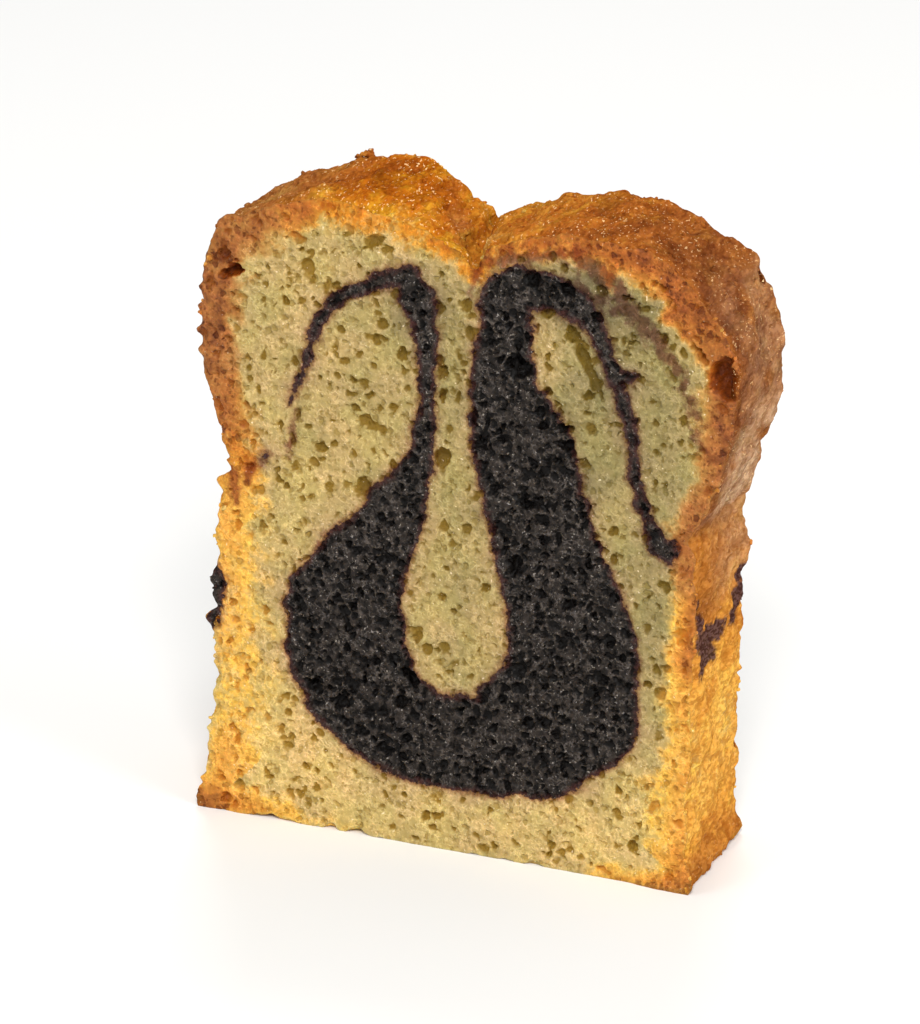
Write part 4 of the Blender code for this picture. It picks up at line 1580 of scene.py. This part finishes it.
# Lamps: (name, place, size, power, colour).
LAMPS = (
    ("key_light", (0.42, -0.95, 0.95), 0.36, 13.5, (1.0, 0.98, 0.95)),
    ("side_light", (1.0, -0.25, 0.45), 0.5, 5.5, WHITE),
    ("fill_light", (-0.8, -0.9, 0.5), 0.6, 4.0, WHITE),
    ("top_light", (-0.2, 0.6, 0.9), 0.35, 3.5, WHITE),
)


def make_camera():
    """The camera, turned, raised and rolled round its target."""
    turn = math.radians(VIEW_AZIMUTH)
    rise = math.radians(VIEW_ELEVATION)
    roll = math.radians(VIEW_ROLL)
    level = Vector((math.cos(turn), math.sin(turn), 0.0))
    behind = Vector((math.sin(turn), -math.cos(turn), 0.0))
    back = behind * math.cos(rise) + Vector((0.0, 0.0, math.sin(rise)))
    upright = back.cross(level)
    right = level * math.cos(roll) + upright * math.sin(roll)
    up = upright * math.cos(roll) - level * math.sin(roll)
    data = bpy.data.cameras.new("studio_camera")
    data.lens = VIEW_LENS
    data.sensor_width = VIEW_SENSOR
    data.clip_end = VIEW_END
    camera = bpy.data.objects.new("studio_camera", data)
    place = (Vector(VIEW_TARGET) + back * VIEW_DISTANCE) * MM
    camera.matrix_world = Matrix(
        (
            (right.x, up.x, back.x, place.x),
            (right.y, up.y, back.y, place.y),
            (right.z, up.z, back.z, place.z),
            (0, 0, 0, 1),
        )
    )
    bpy.context.scene.collection.objects.link(camera)
    bpy.context.scene.camera = camera


def make_light(name, place, size, power, colour):
    data = bpy.data.lights.new(name, "AREA")
    data.size = size
    data.energy = power
    data.color = colour
    lamp = bpy.data.objects.new(name, data)
    lamp.location = place
    way = Vector(AIM) - Vector(place)
    lamp.rotation_euler = way.to_track_quat("-Z", "Y").to_euler()
    bpy.context.scene.collection.objects.link(lamp)


def make_studio():
    """Soft lamps, white surroundings and a pale floor."""
    world = bpy.data.worlds.new("studio_light")
    world.use_nodes = True
    sky = world.node_tree.nodes["Background"]
    sky.inputs["Color"].default_value = (*WHITE, 1.0)
    sky.inputs["Strength"].default_value = AMBIENT
    bpy.context.scene.world = world
    for lamp in LAMPS:
        make_light(*lamp)
    bpy.ops.object.select_all(action="DESELECT")
    bpy.ops.mesh.primitive_plane_add(size=FLOOR_SIZE, location=(0.0, 0.0, 0.0))
    floor = bpy.context.active_object
    floor.name = "studio_floor"
    material, _, surface = new_material("plain_floor")
    surface.inputs["Base Color"].default_value = FLOOR_COLOUR
    surface.inputs["Roughness"].default_value = FLOOR_ROUGHNESS
    floor.data.materials.append(material)
    bpy.context.scene.view_settings.view_transform = "Standard"
    bpy.context.scene.view_settings.look = "None"


# --- the slice -----------------------------------------------------------------------------------


GRAINS_SEED, CRUMBS_SEED = 301, 302
FRONT_SEED, BACK_SEED = 201, 301
BACK_HOLES_SEED = 5
BACK_HOLES = 70
SKIN_HOLLOW = 0.7  # a pore in the skin this deep gets the full painted shade


def back_holes():
    """Holes scattered over the back cut face, told as HOLES tells those of the front."""
    rng = np.random.default_rng(BACK_HOLES_SEED)
    across = rng.uniform(-38.0, 36.0, BACK_HOLES)
    up = rng.uniform(4.0, 96.0, BACK_HOLES)
    sizes = rng.uniform(0.6, 1.5, (BACK_HOLES, 2))
    turn = rng.uniform(-60.0, 60.0, BACK_HOLES)
    deep = rng.uniform(0.6, 1.8, BACK_HOLES)
    return np.column_stack([across, up, sizes, turn, deep])


def main():
    bpy.ops.object.select_all(action="DESELECT")
    skin = Skin(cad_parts["cake_slice"])
    relief, pores = skin_relief(skin)
    bake, rosy, dry = skin_bake(skin)
    cocoa = skin_cocoa(skin)
    flat = skin.flat + skin.outward * relief[:, :, None]
    flat[:, :, 1] = np.maximum(flat[:, :, 1], 0.0)
    outer = skin.in_space(flat).copy()
    chips = []
    for row, side in ((0, -1.0), (-1, 1.0)):
        chip = edge_chips(skin, row)
        fade = np.exp(-(CUT - side * skin.depths) / CHIP_FADE)
        outer[:, :, 1] -= side * fade[:, None] * chip[None]
        chips.append(chip)

    bubbles = bubble_group()
    browning = bake_group()
    threads = thread_group()
    batter = cocoa_group(bubbles, threads)
    crumb = crumb_material(bubbles, threads, browning, batter)
    baked = crust_material(bubbles, browning)

    values = {
        "bake": bake,
        "crown": crown_share(skin.points[:, :, 2]),
        "dry": dry,
        "rosy": rosy,
        "cocoa": cocoa,
        "hollow": np.clip(pores / SKIN_HOLLOW, 0.0, 1.0),
    }
    crust = finish_piece(crust_piece(skin, outer, values), baked)
    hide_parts("cake_slice")
    finish_piece(crust_grains(skin, outer, bake, rosy, dry, GRAINS_SEED), baked)
    finish_piece(clinging_crumbs(skin, outer, bake, cocoa, CRUMBS_SEED), crumb)
    for name, side, chip, holes, seed in (
        ("crumb_front", -1.0, chips[0], HOLES, FRONT_SEED),
        ("crumb_back", 1.0, chips[1], back_holes(), BACK_SEED),
    ):
        finish_piece(crumb_piece(name, skin, outer, side, chip, holes, seed), crumb)


main()
make_studio()
make_camera()
